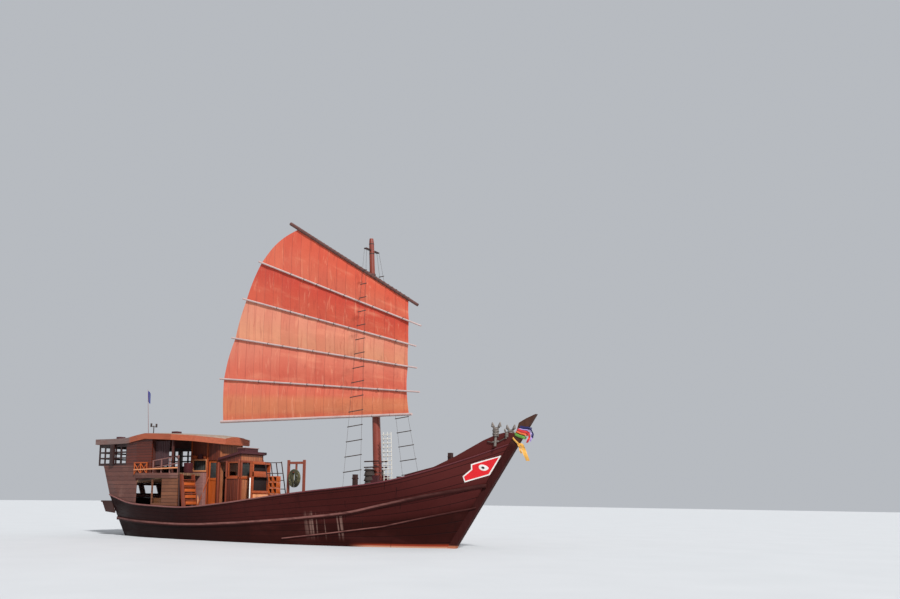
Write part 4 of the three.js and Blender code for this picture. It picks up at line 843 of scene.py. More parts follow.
def hull_ring(x):
    """The section's points from keel over rail to deck on both sides, and each one's strake."""
    section = Station(x)
    in_well = DECK_AFT < x < DECK_FORE
    low = section.deck_z if in_well else section.sheer_z
    wall = BULWARK if in_well else 0
    heights = [section.keel * (1 - t) for t in RING_BELOW]
    heights += [section.sheer_z * t for t in steps(0, 1, RINGS_ABOVE)]
    outline = [(section.half(z), z) for z in heights]
    outline += [(max(section.half(z) - wall, LEAST_HALF), z)
                for z in steps(section.sheer_z, low, RINGS_INSIDE)]
    strakes = [PLANKS_ABOVE * z / section.sheer_z if z > 0 else z / PLANK_BELOW for _, z in outline]
    ring = [section.point(-y, z) for y, z in outline]
    ring += [section.point(y, z) for y, z in reversed(outline)]
    return ring, strakes + strakes[::-1]


def hull_skin():
    """The planked side in one smooth skin, with the bulwarks and the well that the deck lies in."""
    rings, uv = [], []
    ends = [x + step for x in (DECK_AFT, DECK_FORE) for step in (-END_STEP, END_STEP)]
    for x in sorted(steps(HULL_AFT, HULL_FORE, HULL_RINGS) + ends):
        ring, strakes = hull_ring(x)
        rings.append(ring)
        uv += [(x, s) for s in strakes]
    skin = lofted("hull_skin", rings, uv)
    deselect()
    bpy.ops.mesh.primitive_cube_add(size=1, location=WELL_AT)
    well = bpy.context.object
    well.scale = WELL_SIZE
    modified(skin, "BOOLEAN", operation="DIFFERENCE", solver="EXACT", object=well)
    bpy.data.objects.remove(well)
    settle(skin, "hull_skin", HULL_PAINT, "boat", "hull_paint", 35,
           ("hull", "bulwark_starboard", "bulwark_port"))


STRAKE_BURY = 0.02
STRAKE_SHOULDER = (0.70, 0.96)  # how proud its edge and its shoulder are, as parts of its middle
WALE_RUN = (-9.13, 10.0)
WALE_HIGH = 0.15
WALE_PROUD = 0.055
LOWER_RUN = (1.7, 9.55)
LOWER_HIGH = 0.075
LOWER_PROUD = 0.03
LOWER_WALE = (1.6, 0.22), (4.0, 0.51), (6.1, 0.80), (7.5, 1.12), (10.05, 1.72)  # x and z


def swept_strake(way, run, z_at, high, proud, count=90):
    """A timber along the hull's side from end to end of its run, its outer face rounded."""
    edge, shoulder = (proud * part for part in STRAKE_SHOULDER)
    upper = ((0.5, proud), (0.85, shoulder), (1.0, edge), (1.0, -STRAKE_BURY))
    profile = tuple((-up, out) for up, out in upper[::-1]) + upper
    rings, uv = [], []
    for x in steps(*run, count):
        middle = z_at(x)
        rings.append([skin_point(way, x, middle + up * high / 2, out) for up, out in profile])
        uv += [(x, (up + 1) / 2) for up, _ in profile]
    return lofted("strake", rings, uv)


def wale_z(x):
    return smooth(station_under(x, lambda at: smooth(at, "wale")), "wale")


def lower_wale_z(x):
    """The height at x along LOWER_WALE's straight pieces."""
    for (x0, z0), (x1, z1) in zip(LOWER_WALE, LOWER_WALE[1:]):
        if x <= x1:
            break
    return lerp(z0, z1, (x - x0) / (x1 - x0))


def wales():
    pieces = [settle(swept_strake(way, WALE_RUN, wale_z, WALE_HIGH, WALE_PROUD), "wale_run",
                     STRAKE_PAINT) for way, _ in SIDES]
    aft = Station(HULL_AFT)
    x, z = aft.x + aft.rake * aft.wale, aft.wale
    half = aft.half(z) + WALE_PROUD
    pieces.append(timber("wale_stern", (x - 0.06, -half, z - WALE_HIGH / 2),
                         (x + 0.02, half, z + WALE_HIGH / 2), STRAKE_PAINT, edge=0.02))
    hang(joined("wale_strake", pieces), "boat", "hull_paint", "wale")
    for way, side in SIDES:
        piece = swept_strake(way, LOWER_RUN, lower_wale_z, LOWER_HIGH, LOWER_PROUD, 70)
        settle(piece, f"lower_wale_{side}", STRAKE_PAINT, "boat", "hull_paint")


CAP_PROUD = 0.045
CAP_EDGE = 0.012
CAP_LEAST = 0.02  # where its inner edges meet at the bow
CAP_RINGS = 110


def cap_rail():
    all_rings = []
    for way, _ in SIDES:
        rings = []
        for x in steps(HULL_AFT, HULL_FORE, CAP_RINGS):
            section = Station(x)
            z0, z1 = section.sheer_z + 0.002, section.sheer_z + CAP_HIGH
            outer = section.sheer + CAP_PROUD
            inner = max(outer - CAP_WIDE, CAP_LEAST)
            rings.append([section.point(way * y, z) for y, z in (
                (inner, z0), (outer - CAP_EDGE, z0), (outer, z0 + CAP_EDGE), (outer, z1 - CAP_EDGE),
                (outer - CAP_EDGE, z1), (inner + CAP_EDGE, z1), (inner, z1 - CAP_EDGE),
            )])
        all_rings.append(rings)
    rings = []
    for section in (Station(HULL_AFT), Station(HULL_AFT + CAP_WIDE)):
        z0, z1 = section.sheer_z + 0.003, section.sheer_z + CAP_HIGH - 0.001
        rings.append([section.point(y, z) for y, z in (
            (-section.sheer, z0), (section.sheer, z0), (section.sheer, z1), (-section.sheer, z1),
        )])
    all_rings.append(rings)
    pieces = [settle(lofted("cap", rings), "cap", CAP_WOOD) for rings in all_rings]
    hang(joined("cap_rail_run", pieces), "boat", "weathered_wood", "cap_rail")


# Rig: each spar's name, x and z of its aft end, x and z of its fore end
SPARS = (
    ("yard", -0.160, 14.270, 6.820, 9.800),
    ("batten_1", -1.980, 12.730, 7.030, 8.910),
    ("batten_2", -2.900, 11.080, 6.800, 8.090),
    ("batten_3", -3.520, 9.280, 6.860, 7.190),
    ("batten_4", -4.180, 7.390, 7.010, 6.200),
    ("boom", -4.050, 5.360, 6.620, 5.320),
)
SAIL_COLUMNS = 60
BAY_ROWS = 14
BILLOW = 0.055
LEECH_ROUND = (0.22, 0.06, 0.06, 0.08, 0.03)  # how far the aft edge of each bay curves outwards
LUFF_HOLLOW = 0.02
RIPPLE = 0.010
RIPPLE_TURN = 47  # radians over the sail's width
RIPPLE_SHIFT = 2.1  # from bay to bay
LASHING_RADIUS = 0.009
ON_YARD = {"places": steps(0.07, 0.93, 30), "radius": 0.075, "off": 0.0}
ON_BATTEN = {"places": steps(0.22, 0.9, 9), "radius": 0.052, "off": 0.047}


def between_rows(top, foot, t):
    """The aft and fore ends of the sail's row, part t of the way down a bay."""
    x0, z0, x1, z1 = (lerp(a, b, t) for a, b in zip(top, foot))
    return Vector((x0, 0, z0)), Vector((x1, 0, z1))


def sail():
    """One sheet from yard to boom, held flat at each batten and a little full between them."""
    points, uv = [], []
    bays = len(SAIL_ROWS) - 1
    rows = bays * BAY_ROWS
    for r in range(rows + 1):
        bay = min(bays - 1, r // BAY_ROWS)
        t = r / BAY_ROWS - bay
        top, foot = SAIL_ROWS[bay], SAIL_ROWS[bay + 1]
        aft, fore = between_rows(top, foot, t)
        hollow = math.sin(math.pi * t)
        leech = Vector((foot[0] - top[0], 0, foot[1] - top[1])).normalized()
        outward = Vector((leech.z, 0, -leech.x))
        for c in range(SAIL_COLUMNS + 1):
            u = c / SAIL_COLUMNS
            point = aft.lerp(fore, u)
            point += LEECH_ROUND[bay] * hollow * (1 - u) ** 3 * outward
            point.x -= LUFF_HOLLOW * hollow * u ** 8
            full = BILLOW * hollow * math.sin(math.pi * u) ** 0.6
            ripple = RIPPLE * math.sin(u * RIPPLE_TURN + bay * RIPPLE_SHIFT) * hollow ** 0.5
            point.y = SAIL_Y - full - ripple
            points.append(point)
            uv.append((point.x, r / BAY_ROWS))
    cloth = from_faces("sail_cloth", points, grid_faces(rows, SAIL_COLUMNS), uv)
    modified(cloth, "SOLIDIFY", thickness=0.008, offset=0)
    settle(cloth, "sail_cloth", CANVAS, "rig", "canvas", 60, ("sail",))


def lashings():
    """Turns of line round each spar, close together on the yard and further apart below."""
    turns = []
    for name, x0, z0, x1, z1 in SPARS:
        lay = ON_YARD if name == "yard" else ON_BATTEN
        y = SAIL_Y if name == "boom" else SAIL_Y - lay["off"]
        run = Vector((x1 - x0, 0, z1 - z0)).normalized()
        for t in lay["places"]:
            middle = Vector((lerp(x0, x1, t), y, lerp(z0, z1, t)))
            turns.append(line("lashing", ring_points(middle, run, lay["radius"], 10, 0.012),
                              LASHING_RADIUS, DARK_ROPE, "rig", "rope", 4))
    joined("spar_lashings", turns)


MAST_RINGS = 60
MAST_SIDES = 32
MAST_TIP = 0.03  # the top's worn edge: how far down it reaches, and by how much it is rounded
MAST_TIP_ROUND = 0.02
BANDS_AT = (2.95, 3.35, 12.35, 12.78)
BAND_HALF = 0.03
BAND_PROUD = 0.006


def mast():
    rings = []
    lean = Vector((MAST_RAKE, 0, 1)).normalized()
    side = Vector((0, 1, 0))
    ahead = side.cross(lean).normalized()
    for z in steps(MAST_FOOT[1] + 0.04, MAST_TOP - 0.005, MAST_RINGS):
        radius = mast_radius(z)
        if z > MAST_TOP - MAST_TIP:
            radius -= MAST_TIP_ROUND
        rings.append([mast_at(z) + radius * (math.cos(a) * ahead + math.sin(a) * side)
                      for a in [2 * math.pi * k / MAST_SIDES for k in range(MAST_SIDES)]])
    settle(lofted("mast_pole", rings), "mast_pole", MAST_WOOD, "boat", "mast_wood", 40, ("mast",))
    bands = [rod("band", mast_at(z - BAND_HALF), mast_at(z + BAND_HALF), mast_radius(z) + BAND_PROUD,
                 IRON, sides=MAST_SIDES) for z in BANDS_AT]
    hang(joined("mast_bands", bands), "boat", "dark_wood")


# Ladders from the cap rail to the masthead
LADDER = {"aft": 4.65, "fore": 5.50, "foot": 2.17, "head_z": 12.5, "spread": 0.055, "out": 0.45}
LADDER_RUNGS = 15
TOP_RUNG = 0.96  # as a part of the way up to the head
WIRE_RADIUS = 0.005
RUNG_RADIUS = 0.019
RUNG_BEYOND = 0.045
SPREADER = {"half_wide": 0.07, "half_high": 0.025, "inner": 0.12, "beyond": 0.02}


def ladders():
    """Thin wire sides with dark rungs seized across them, and a spreader on the mast."""
    head_z, out = LADDER["head_z"], LADDER["out"]
    head_x = mast_at(head_z).x
    for way, side in SIDES:
        wires = []
        for x, end in ((LADDER["aft"], -1), (LADDER["fore"], 1)):
            at = station_under(x, lambda s: smooth(s, "sheer_z"))
            foot = Vector((x, way * LADDER["foot"], smooth(at, "sheer_z") + 0.03))
            wires.append((foot, Vector((head_x + end * LADDER["spread"], way * out, head_z))))
        parts = [line("wire", ends, WIRE_RADIUS, DARK_ROPE, sides=5) for ends in wires]
        for k in range(1, LADDER_RUNGS + 1):
            t = k / (LADDER_RUNGS + 1) * TOP_RUNG
            a, b = (foot.lerp(head, t) for foot, head in wires)
            beyond = (b - a).normalized() * RUNG_BEYOND
            parts.append(rod("rung", a - beyond, b + beyond, RUNG_RADIUS, DARK_ROPE, sides=10))
        wide, high = SPREADER["half_wide"], SPREADER["half_high"]
        corners = on_side(way, head_x - wide, head_x + wide, SPREADER["inner"],
                          out + SPREADER["beyond"], head_z - high, head_z + high)
        parts.append(timber("spreader", *corners, DARK_WOOD))
        hang(joined(f"ladder_shroud_{side}", parts), "boat", "rope", f"ladder_{side}")


# CAD nodes that keep their shape, by the finish they take
NODE_FINISHES = (
    (STEM_PAINT, "stem"),
    (KEEL_PAINT, "keel rudder"),
    (HULL_PAINT, "bow_bulwark"),
    (DECK_PLANK, "main_deck poop_deck engine_hatch"),
    (ENGINE_IRON, "engine"),
    (WEATHERED, "quarter_side_starboard quarter_side_port stern_panel"),
    (VARNISH_LEVEL, "cabin_side_starboard cabin_side_port"),
    (LATTICE_WOOD, "gallery_windows"),
    (BEAM_WOOD, "cabin_portal roof_beam_starboard roof_beam_port"),
    (ROOF_TOP, "roof"),
    (ROOF_BOARD, "roof_board"),
    (WEATHERED_FLAT, "poop_rail_starboard poop_rail_port"),
    (SIDE_PLANKS, "lower_side_starboard lower_side_port"),
    (STAND_WOOD, "stair rope_stand"),
    (VARNISH_UP, "house_side_starboard house_side_port wheelhouse_side_starboard"),
    (VARNISH_UP, "wheelhouse_side_port"),
    (VARNISH_DOOR, "side_door"),
    (VARNISH_UP_END, "house_front wheelhouse_front"),
    (DARK_RED_WOOD, "wheelhouse_roof mast_partners"),
    (VARNISH, "steering_wheel cabinet"),
    (DARK_WOOD, "rack windlass_cheeks bollard_starboard bollard_port bow_bitt stern_platform"),
    (MAST_WOOD, "windlass_barrel"),
    (YARD_WOOD, "yard"),
    (SPAR_WOOD, "batten_1 batten_2 batten_3 batten_4 boom"),
    (BRONZE, "propeller"),
)


def finish_nodes():
    for material, names in NODE_FINISHES:
        for name in names.split():
            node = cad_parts[name]
            node.data.materials.clear()
            node.data.materials.append(material)


# Bow: the painted eye, the ribbons, the anchors
EYE_PANEL = (  # ship's x and z of its corners on the bow
    (10.658, 3.595), (10.161, 2.854), (9.369, 2.556), (9.355, 2.789), (9.675, 3.056), (9.710, 3.244),
)
EYE_AT = (10.035, 3.125)
EYE_BORDER = 0.042
SHARPEST = 0.4
PAINT_THICK = 0.006
OVAL_POINTS = 28


def inset(outline, by):
    """The outline moved inwards by a width, its corners kept."""
    moved = []
    count = len(outline)
    for k in range(count):
        before, here, after = (Vector(outline[(k + j) % count]) for j in (-1, 0, 1))
        a, b = (here - before).normalized(), (after - here).normalized()
        normal_a, normal_b = Vector((a.y, -a.x)), Vector((b.y, -b.x))
        bisector = (normal_a + normal_b).normalized()
        moved.append(here + bisector * by / max(SHARPEST, bisector.dot(normal_a)))
    return moved


def oval(width, point=0.0):
    """A round outline in x and z at the eye, drawn out to a point on its fore side."""
    outline = []
    for k in range(OVAL_POINTS):
        angle = -2 * math.pi * k / OVAL_POINTS
        x, z = math.cos(angle), math.sin(angle)
        x += point * max(0, x) ** 3
        outline.append((EYE_AT[0] + width * x, EYE_AT[1] + width * z))
    return outline


def on_bow(name, way, outline, out, material):
    """A thin painted board that follows the bow's side, from its outline in x and z."""
    deselect()
    mesh = bpy.data.meshes.new(name)
    shape = bmesh.new()
    face = shape.faces.new([shape.verts.new((x, 0, z)) for x, z in outline])
    bmesh.ops.triangulate(shape, faces=[face])
    for _ in range(3):
        bmesh.ops.subdivide_edges(shape, edges=shape.edges[:], cuts=1, use_grid_fill=True)
    for vert in shape.verts:
        vert.co = skin_point(way, vert.co.x, vert.co.z, out)
    shape.to_mesh(mesh)
    shape.free()
    piece = in_scene(name, mesh)
    modified(piece, "SOLIDIFY", thickness=PAINT_THICK, offset=0)
    settle(outwards(piece), name, material, "boat", "hull_paint")


def bow_eyes():
    layers = (
        ("border", EYE_PANEL, 0.006, WHITE_PAINT),
        ("panel", inset(EYE_PANEL, EYE_BORDER), 0.011, EYE_RED),
        ("white", oval(0.115, 0.35), 0.016, WHITE_PAINT),
        ("pupil", oval(0.045), 0.021, BLACK_PAINT),
    )
    for way, side in SIDES:
        for name, outline, out, material in layers:
            on_bow(f"eye_{name}_{side}", way, outline, out, material)


RIBBONS = (  # name, colour, darker colour, aft x and z, fore x and z, width
    ("blue", (30, 34, 96), (18, 18, 60), (11.43, 4.66), (11.80, 4.60), 0.10),
    ("lilac", (196, 176, 226), (150, 120, 190), (11.38, 4.60), (11.76, 4.53), 0.035),
    ("red", (226, 62, 58), (170, 24, 40), (11.32, 4.56), (11.72, 4.44), 0.10),
    ("orange", (232, 122, 60), (190, 70, 40), (11.26, 4.49), (11.66, 4.36), 0.07),
    ("green", (120, 168, 66), (54, 104, 40), (11.19, 4.40), (11.57, 4.26), 0.11),
)
TAILS = (  # ribbon, points from the band down (x, z), width
    ("blue", ((11.80, 4.62), (11.93, 4.50), (11.98, 4.36), (11.94, 4.22)), 0.07),
    ("lilac", ((11.78, 4.54), (11.91, 4.40), (11.92, 4.24), (11.86, 4.10)), 0.06),
    ("red", ((11.74, 4.46), (11.84, 4.34), (11.81, 4.20), (11.72, 4.06)), 0.09),
)
SASH = ((11.02, 4.36), (11.40, 3.98))
SASH_TAIL = ((11.38, 4.06), (11.52, 3.98), (11.62, 3.72), (11.76, 3.38))
SASH_TAIL_SHORT = ((11.36, 4.04), (11.44, 3.88), (11.50, 3.66))
BAND_POINTS = 40
BAND_OUT = 0.012  # how far a band's middle stands out
STEM_HALF = 0.118
BAND_SLACK = 0.03
TAIL_ROWS = 16


def ribbon_ring(name, aft, fore, width, material):
    """A band wound round the stem head from its aft face to its front."""
    a, b = Vector((aft[0], 0, aft[1])), Vector((fore[0], 0, fore[1]))
    run = (b - a).normalized()
    up = Vector((-run.z, 0, run.x))
    middle, reach = (a + b) / 2, (b - a).length / 2 + BAND_SLACK
    points, faces = [], []
    for k in range(BAND_POINTS):
        angle = 2 * math.pi * k / BAND_POINTS
        c, d = math.cos(angle), math.sin(angle)
        corner = (abs(c) ** 5 + abs(d) ** 5) ** -0.2
        at = middle + run * reach * c * corner + Vector((0, STEM_HALF * d * corner, 0))
        at += 0.006 * math.sin(5 * angle) * up
        out = (run * c + Vector((0, d, 0))) * BAND_OUT
        points += [at - up * width / 2, at + out - up * width * 0.35, at + out + up * width * 0.35,
                   at + up * width / 2]
        for i in range(4):
            j, n = (k + 1) % BAND_POINTS, (i + 1) % 4
            faces.append((k * 4 + i, k * 4 + n, j * 4 + n, j * 4 + i))
    piece = outwards(from_faces(name, points, faces))
    return settle(piece, name, material, "boat", "hull_paint", 60)


def ribbon_tail(name, path, width, material, y=-0.13, spread=0.0):
    """A loose end that hangs in a soft wave, as a thin strip."""
    knots = [Vector((x, y, z)) for x, z in path]
    side = Vector((1, 0.25, 0)).normalized()
    rows = []
    for i in range(TAIL_ROWS + 1):
        down = i / TAIL_ROWS
        t = down * (len(knots) - 1)
        k = min(int(t), len(knots) - 2)
        u = t - k
        at = knots[k].lerp(knots[k + 1], lerp(u, u * u * (3 - 2 * u), 0.4))
        wide = width * (0.75 + 0.25 * down) / 2 * (1 + spread * down)
        wave = 0.02 * math.sin(i * 0.9)
        rows.append([at + side * d * wide + Vector((0, wave + 0.016 * math.cos(d * 4 + i * 0.7), 0))
                     for d in (-1, -0.4, 0.4, 1)])
    strip = grid_cloth(name, [p for row in rows for p in row], 3, 0.004, material, "hull_paint", 70)


def ribbons():
    finishes = {}
    for name, colour, dark, aft, fore, width in RIBBONS:
        finishes[name] = ribbon_cloth(f"ribbon_{name}", colour, dark)
        band = ribbon_ring(f"ribbon_{name}_band", aft, fore, width, finishes[name])
    for name, path, width in TAILS:
        ribbon_tail(f"tail_{name}", path, width, finishes[name])
    yellow = ribbon_cloth("ribbon_yellow", (226, 176, 84), (190, 130, 50))
    sash = ribbon_ring("sash_band", *SASH, 0.07, yellow)
    ribbon_tail("sash_tail", SASH_TAIL, 0.20, yellow, -0.12, -0.25)
    ribbon_tail("sash_tail_short", SASH_TAIL_SHORT, 0.10, yellow, -0.15, -0.3)


ANCHOR = {"shank": 0.055, "arm": 0.045, "fluke": 0.085, "chain": 0.028, "stock": 0.035}  # radii
ANCHOR_REACH = 0.17
STOCK_HALF = 0.16
STOCK_RAISED = 0.16


def anchor(name, x, foot, head, y, size):
    """A short stocked anchor lashed upright against the bow's side, chain wound round its shank."""
    top = Vector((x + 0.05, y, head))
    parts = [rod("shank", (x, y, foot), top, ANCHOR["shank"] * size, ANCHOR_IRON, sides=12)]
    reach = ANCHOR_REACH * size
    for way in (-1, 1):
        points = [top + Vector((way * reach * math.sin(a), 0, reach * (1 - math.cos(a))))
                  for a in steps(0, 1.5, 8)]
        parts.append(line("arm", points, ANCHOR["arm"] * size, ANCHOR_IRON, sides=9))
        tip = points[-1]
        parts.append(rod("fluke", tip + Vector((-way * 0.02, 0, -0.09)) * size,
                         tip + Vector((way * 0.01, 0, 0.09)) * size, ANCHOR["fluke"] * size,
                         ANCHOR_IRON, 0.02, 8))
    for k, z in enumerate(steps(head - 0.30 * size, head - 0.04, 5)):
        turn = ring_points(Vector((x + 0.03, y, z)), Vector((0, 0.2, 1)).normalized(),
                           (0.10 + 0.015 * (k % 2)) * size, 14)
        parts.append(line("chain", turn, ANCHOR["chain"] * size, ANCHOR_IRON))
    middle, half = foot + STOCK_RAISED, STOCK_HALF * size
    parts.append(rod("stock", (x - half, y, middle), (x + half, y, middle + 0.03),
                     ANCHOR["stock"] * size, ANCHOR_IRON, sides=10))
    hang(joined(name, parts), "boat")


ANCHORS = (  # name, x and z where the bow's side is felt, x, foot, head, distance off it, size
    ("anchor", (10.66, 4.1), 10.62, 3.92, 4.60, 0.10, 0.95),
    ("small_anchor", (10.95, 4.2), 10.95, 4.22, 4.46, 0.08, 0.55),
)
ANCHOR_LASHING = ((10.40, 4.10), (10.55, 4.06), (10.74, 4.12), (10.95, 4.26), (11.02, 4.34))


def bow_gear():
    for way, side in SIDES:
        for name, felt, x, foot, head, off, size in ANCHORS:
            y = skin_point(way, *felt).y + way * off
            anchor(f"{name}_{side}", x, foot, head, y, size)
        points = [skin_point(way, x, z, 0.03) for x, z in ANCHOR_LASHING]
        line(f"anchor_lashing_{side}", points, 0.020, DARK_ROPE)


# Houses and poop. A row of side boards says finish, x from and to, how far out, z from and to.
HOUSE_HALF = 0.75


def side_boards(name, way, rows):
    return boards(name, [(material, *on_side(way, *box)) for material, *box in rows])


def surround(name, way, x0, x1, z0, z1, wide, proud, material):
    """Four boards round an opening in a house's side."""
    near, far = HOUSE_HALF, HOUSE_HALF + proud
    side_boards(name, way, (
        (material, x0 - wide, x1 + wide, near, far, z1, z1 + wide),
        (material, x0 - wide, x1 + wide, near, far, z0 - wide, z0),
        (material, x0 - wide, x0, near, far, z0, z1),
        (material, x1, x1 + wide, near, far, z0, z1),
    ))


def hung_curtain(name, x0, x1, z0, z1, y, folds, depth, material):
    """A curtain gathered along its top edge, its folds opening downwards."""
    points, uv = [], []
    columns, rows = folds * 8, 14
    for r in range(rows + 1):
        t = r / rows
        for c in range(columns + 1):
            u = c / columns
            fold = math.sin(2 * math.pi * folds * u + 0.6 * math.sin(5 * u))
            sway = depth * (0.55 + 0.45 * t) * fold + 0.01 * math.sin(9 * u + 3 * t)
            points.append((lerp(x0, x1, u), y + sway, lerp(z1, z0, t) + 0.012 * math.sin(6 * u) * t))
            uv.append((u, t))
    cloth = grid_cloth(name, points, columns, 0.003, material, uv=uv)


SILL_FOOT = {"starboard": -0.75, "port": 0.98}  # z of the foot of the board below each window
HOUSE_BOXES = ((-5.10, 0.26, 0.15), (-4.72, 0.20, 0.20), (-4.45, 0.12, 0.12))  # x, width, height
POLES = (  # name, top, foot, finish
    ("pole_red", (-5.07, -0.80, 2.90), (-4.58, -1.12, 0.98), WEATHERED_FLAT),
    ("pole_yellow", (-4.84, -0.80, 2.90), (-4.45, -1.12, 0.98), VARNISH_PALE),
    ("pole_tan", (-4.16, -0.80, 2.79), (-4.67, -1.16, 0.98), VARNISH),
)


def deckhouse():
    for way, side in SIDES:
        surround(f"deckhouse_window_frame_{side}", way, -5.23, -4.42, 3.09, 3.54, 0.065, 0.03,
                 VARNISH_PALE)
        hung_curtain(f"deckhouse_curtain_{side}", -5.30, -4.36, 3.02, 3.60, way * 0.655, 7, 0.014,
                     GREEN_CURTAIN)
        timber(f"deckhouse_sill_{side}",
               *on_side(way, -5.34, -4.34, HOUSE_HALF, 0.98, SILL_FOOT[side], 2.98), WEATHERED_FLAT)
        for k, (x, wide, high) in enumerate(HOUSE_BOXES):
            corners = on_side(way, x - wide / 2, x + wide / 2, 0.755, 0.87, 3.625, 3.625 + high)
            timber(f"deckhouse_box_{side}_{k}", *corners, DARK_RED_WOOD if k % 2 else VARNISH)
        side_boards(f"deckhouse_posts_{side}", way, [
            (VARNISH, x - 0.04, x + 0.04, HOUSE_HALF, 0.785, 1.0, 4.45) for x in (-5.37, -4.33)])
        # A dark sheet inside the house below its window is painted shade in the opening.
        timber(f"deckhouse_shade_sheet_{side}", *on_side(way, -5.34, -4.34, 0.54, 0.56, 0.95, 2.52),
               PAINTED_SHADE_WOOD)
    for name, top, foot, material in POLES:
        rod(name, foot, top, 0.028, material, 0.022, 10)


DOOR_Y = -0.684
DOOR_BOARDS = (  # x from and to, z from and to
    (-4.30, -4.20, 1.47, 3.54), (-3.82, -3.75, 1.47, 3.54), (-4.20, -3.82, 2.62, 2.74),
    (-4.20, -3.82, 3.44, 3.54), (-4.20, -3.82, 1.47, 1.62),
)


def side_door_trim():
    """Boards and a pane on the side door, which swing with it."""
    boards("side_door_frame", [(VARNISH_DOOR, (x0, DOOR_Y - 0.016, z0), (x1, DOOR_Y, z1))
                               for x0, x1, z0, z1 in DOOR_BOARDS], "door")
    timber("side_door_pane", (-4.20, DOOR_Y - 0.008, 2.74), (-3.82, DOOR_Y, 3.44), GLASS, "door",
           0.002)


def wheelhouse():
    near, far = HOUSE_HALF, 0.79
    for way, side in SIDES:
        surround(f"wheelhouse_window_frame_{side}", way, -2.95, -2.38, 2.84, 3.42, 0.05, 0.022, VARNISH)
        side_boards(f"wheelhouse_trim_{side}", way, (
            (VARNISH, -3.14, -2.28, near, far, 2.70, 2.79),
            (VARNISH, -3.14, -2.28, near, far, 1.20, 1.34),
            (STAND_WOOD, -2.38, -2.30, near, far, 1.20, 3.60),
            (STAND_WOOD, -3.14, -3.06, near, far, 1.20, 3.50),
            (STAND_WOOD, -3.66, -3.57, near, far, 1.10, 3.46),
        ))
        for k, x in enumerate(steps(-2.98, -2.46, 7)):
            timber(f"wheelhouse_slat_{side}_{k}",
                   *on_side(way, x - 0.033, x + 0.033, near, 0.763, 1.36, 2.69), VARNISH_UP,
                   edge=0.005)
    boards("wheelhouse_front_trim", (
        (VARNISH, (-2.306, -0.70, 2.70), (-2.25, 0.70, 2.79)),
        (VARNISH, (-2.306, -0.70, 1.24), (-2.26, 0.70, 1.38)),
        (STAND_WOOD, (-2.306, -0.70, 3.44), (-2.26, 0.70, 3.54)),
        (VARNISH, (-2.306, -0.03, 2.79), (-2.27, 0.03, 3.44)),
        (STAND_WOOD, (-2.306, -0.70, 1.38), (-2.26, -0.62, 3.44)),
        (STAND_WOOD, (-2.306, 0.62, 1.38), (-2.26, 0.70, 3.44)),
    ))
    boards("wheelhouse_panes", [(GLASS, (-2.35, y0, 2.85), (-2.342, y1, 3.41))
                                for y0, y1 in ((-0.61, -0.05), (0.05, 0.61))], edge=0.002)
    for y0, y1 in ((-0.60, -0.34), (-0.30, -0.04), (0.04, 0.30), (0.34, 0.60)):
        timber("front_board", (-2.306, y0, 1.40), (-2.285, y1, 2.68), VARNISH_UP_END)
    timber("roof_light_lid", (-2.82, -0.46, 4.09), (-2.30, 0.46, 4.125), WEATHERED_FLAT)


BENT_POST = (  # x and z
    (-4.95, 3.66), (-4.72, 3.66), (-4.58, 3.55), (-4.53, 3.35), (-4.50, 2.95), (-4.47, 2.4),
    (-4.45, 1.75), (-4.44, 1.46),
)
LATTICE = (  # x and z of each bar's ends, radius, finish
    (-7.45, 2.86, -7.45, 3.42, 0.022, VARNISH_DOOR),
    (-7.45, 2.88, -7.02, 3.38, 0.018, VARNISH_DOOR),
    (-7.02, 2.88, -7.45, 3.38, 0.018, VARNISH_DOOR),
    (-7.02, 2.86, -7.02, 3.42, 0.022, VARNISH_DOOR),
    (-7.02, 2.88, -6.59, 3.38, 0.018, VARNISH_DOOR),
    (-6.59, 2.88, -7.02, 3.38, 0.018, VARNISH_DOOR),
    (-6.60, 2.86, -6.60, 3.42, 0.022, VARNISH_DOOR),
    (-7.48, 3.40, -6.57, 3.40, 0.024, VARNISH_DOOR),
    (-7.48, 3.08, -4.60, 3.16, 0.030, VARNISH_PALE),
)


def poop_details():
    for way, side in SIDES:
        timber(f"poop_fascia_{side}", *on_side(way, -7.30, -4.52, 2.314, 2.345, 2.70, 2.93),
               WEATHERED, edge=0.012)
        y = way * 2.30
        joined(f"poop_lattice_{side}", [
            rod("bar", (x0, y, z0), (x1, y, z1), radius, material, sides=8)
            for x0, z0, x1, z1, radius, material in LATTICE])
        line(f"bent_post_{side}", [Vector((x, way * 2.27, z)) for x, z in BENT_POST], 0.032,
             DARK_WOOD, sides=9)
        hung_curtain(f"cabin_curtain_{side}", -6.38, -5.45, 3.28, 4.40, way * 2.02, 9, 0.022, CURTAIN)
    timber("poop_locker", (-5.15, -1.42, 2.84), (-4.90, -1.10, 3.42), DARK_RED_WOOD)
    timber("under_poop_box", (-7.0, -1.5, 1.12), (-6.5, -0.9, 1.80), VARNISH_PALE)
    timber("dark_locker", (-6.1, -1.7, 1.05), (-5.62, -1.2, 2.2), DARK_WOOD)


STAIR_TOP, STAIR_FOOT = 2.83, 0.86
STAIR_AT = -4.295
STAIR_STEP = 0.0533
STAIR_Y = (-2.15, -1.53)


def stair_risers():
    riser = (STAIR_TOP - STAIR_FOOT) / 7
    y0, y1 = STAIR_Y
    rows = []
    for k in range(6):
        z = STAIR_TOP - (k + 1) * riser
        x = STAIR_AT + k * STAIR_STEP
        rows.append((STEP_WOOD, (x, y0, z - riser * 0.62), (x + 0.02, y1, z - 0.038)))
        rows.append((STEP_WOOD, (x - 0.20, y0, z + 0.0005), (x + 0.03, y1, z + 0.012)))
    boards("stair_boards", rows, edge=0.004)


